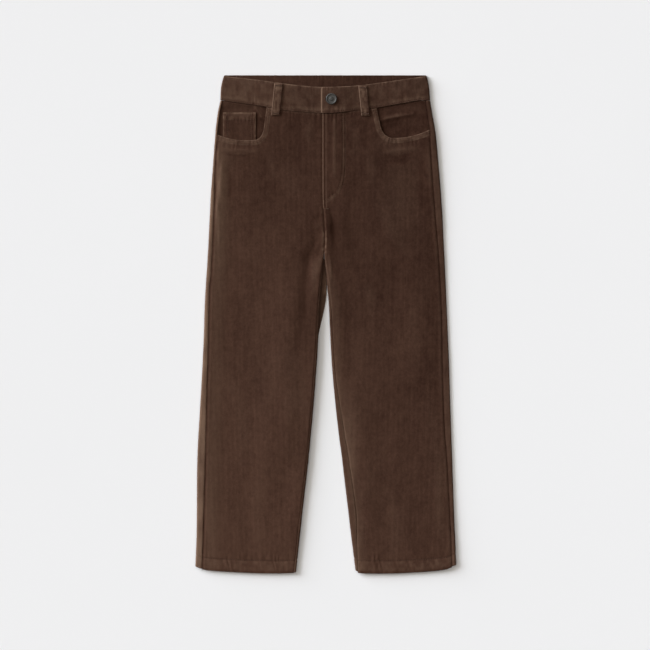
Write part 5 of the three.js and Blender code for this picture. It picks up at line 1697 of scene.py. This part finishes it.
# %% Finish, ride and replace
cloths = [
    (front_right, "front_right", (0.175, 0.672), 0.104, ["back_panel_right"]),
    (front_left, "front_left", (0.175, 0.672), 0.104, ["back_panel_left"]),
    (back_right, "back_right", (0.195, 0.690), 0.118, []),
    (back_left, "back_left", (0.200, 0.690), 0.121, []),
    (facing_right, "pocket_facing_right", (0.092, 0.066), 0.0050, ["back_panel_right"]),
    (facing_left, "pocket_facing_left", (0.092, 0.066), 0.0050, ["back_panel_left"]),
    (coin_cloth, "coin_pocket", (0.048, 0.047), 0.0022, ["pocket_facing_cloth_right"]),
    (waist_cloth, "waistband", (0.650, 0.040), 0.0250, ["back_panel_right", "back_panel_left"]),
    (front_loops["right"], "belt_loop_front_right", (0.0123, 0.049), 0.00059, ["waist_strip"]),
    (front_loops["left"], "belt_loop_front_left", (0.0123, 0.049), 0.00059, ["waist_strip"]),
    (back_loops["right"], "belt_loop_back_right", (0.0123, 0.035), 0.00043, ["waist_strip"]),
    (back_loops["centre"], "belt_loop_back_centre", (0.0123, 0.035), 0.00043, ["waist_strip"]),
    (back_loops["left"], "belt_loop_back_left", (0.0123, 0.035), 0.00043, ["waist_strip"]),
]
for piece, node, flat, area, under in cloths:
    piece.data.materials.append(corduroy_finish)
    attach(piece, "root")
    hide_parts(node)
for piece, finish in ((stitches, thread_finish), (metal_button, metal_finish)):
    piece.data.materials.append(finish)
    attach(piece, "root")
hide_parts("button")
print("cloths:", len(cloths))

# %% [markdown]
# ## The table, the light and the camera
# The garment lies on a plain pale surface and is seen from straight above. A wide soft light comes
# from the upper left at a low angle, which draws the soft edge of shadow on the right and lifts the
# ribs. A second one from above fills the rest.

# %% Floor
FLOOR_SIZE = 6.0
half = FLOOR_SIZE / 2 / MM
floor_points = np.array([(-half, -half, -0.2), (half, -half, -0.2), (half, half, -0.2), (-half, half, -0.2)])
floor = make_mesh("floor", floor_points, [np.array([[0, 1, 2, 3]])], [False], {})
f = Finish("pale_table")
place = f.read("ShaderNodeTexCoord", output="Object")
shade = f.noise(f.scaled(place, (3.0, 3.0, 3.0)), 1.0, 2.0)
floor.data.materials.append(
    f.dress(Base_Color=f.colour(shade, (0.84, 0.84, 0.838, 1), (0.855, 0.855, 0.853, 1)), Roughness=0.95)
)

# %% Lights
def sun(name, towards, strength, spread, colour=(1, 1, 1)):
    light = bpy.data.lights.new(name, "SUN")
    light.energy, light.angle, light.color = strength, math.radians(spread), colour
    lamp = bpy.data.objects.new(name, light)
    lamp.rotation_euler = Vector(towards).to_track_quat("-Z", "Y").to_euler()
    bpy.context.scene.collection.objects.link(lamp)
    return lamp


sun("window_light", (0.78, -0.45, -0.30), 5.1, 44, (0.94, 0.99, 1.07))
sun("ceiling_light", (0.25, -0.2, -1.0), 1.45, 105, (1.06, 1.0, 0.93))
world = bpy.data.worlds.new("pale_room")
world.use_nodes = True
world.node_tree.nodes["Background"].inputs["Color"].default_value = (1, 1, 1, 1)
world.node_tree.nodes["Background"].inputs["Strength"].default_value = 0.07
bpy.context.scene.world = world
bpy.context.scene.view_settings.view_transform = "Standard"

# %% Camera
CAMERA_HEIGHT = 5.0
FRAME_WIDTH = 0.9425
camera_data = bpy.data.cameras.new("overhead")
camera_data.sensor_width = 36
camera_data.lens = 36 * CAMERA_HEIGHT / FRAME_WIDTH
camera = bpy.data.objects.new("overhead", camera_data)
camera.location = (-0.0011, -0.0009, CAMERA_HEIGHT)
bpy.context.scene.collection.objects.link(camera)
bpy.context.scene.camera = camera
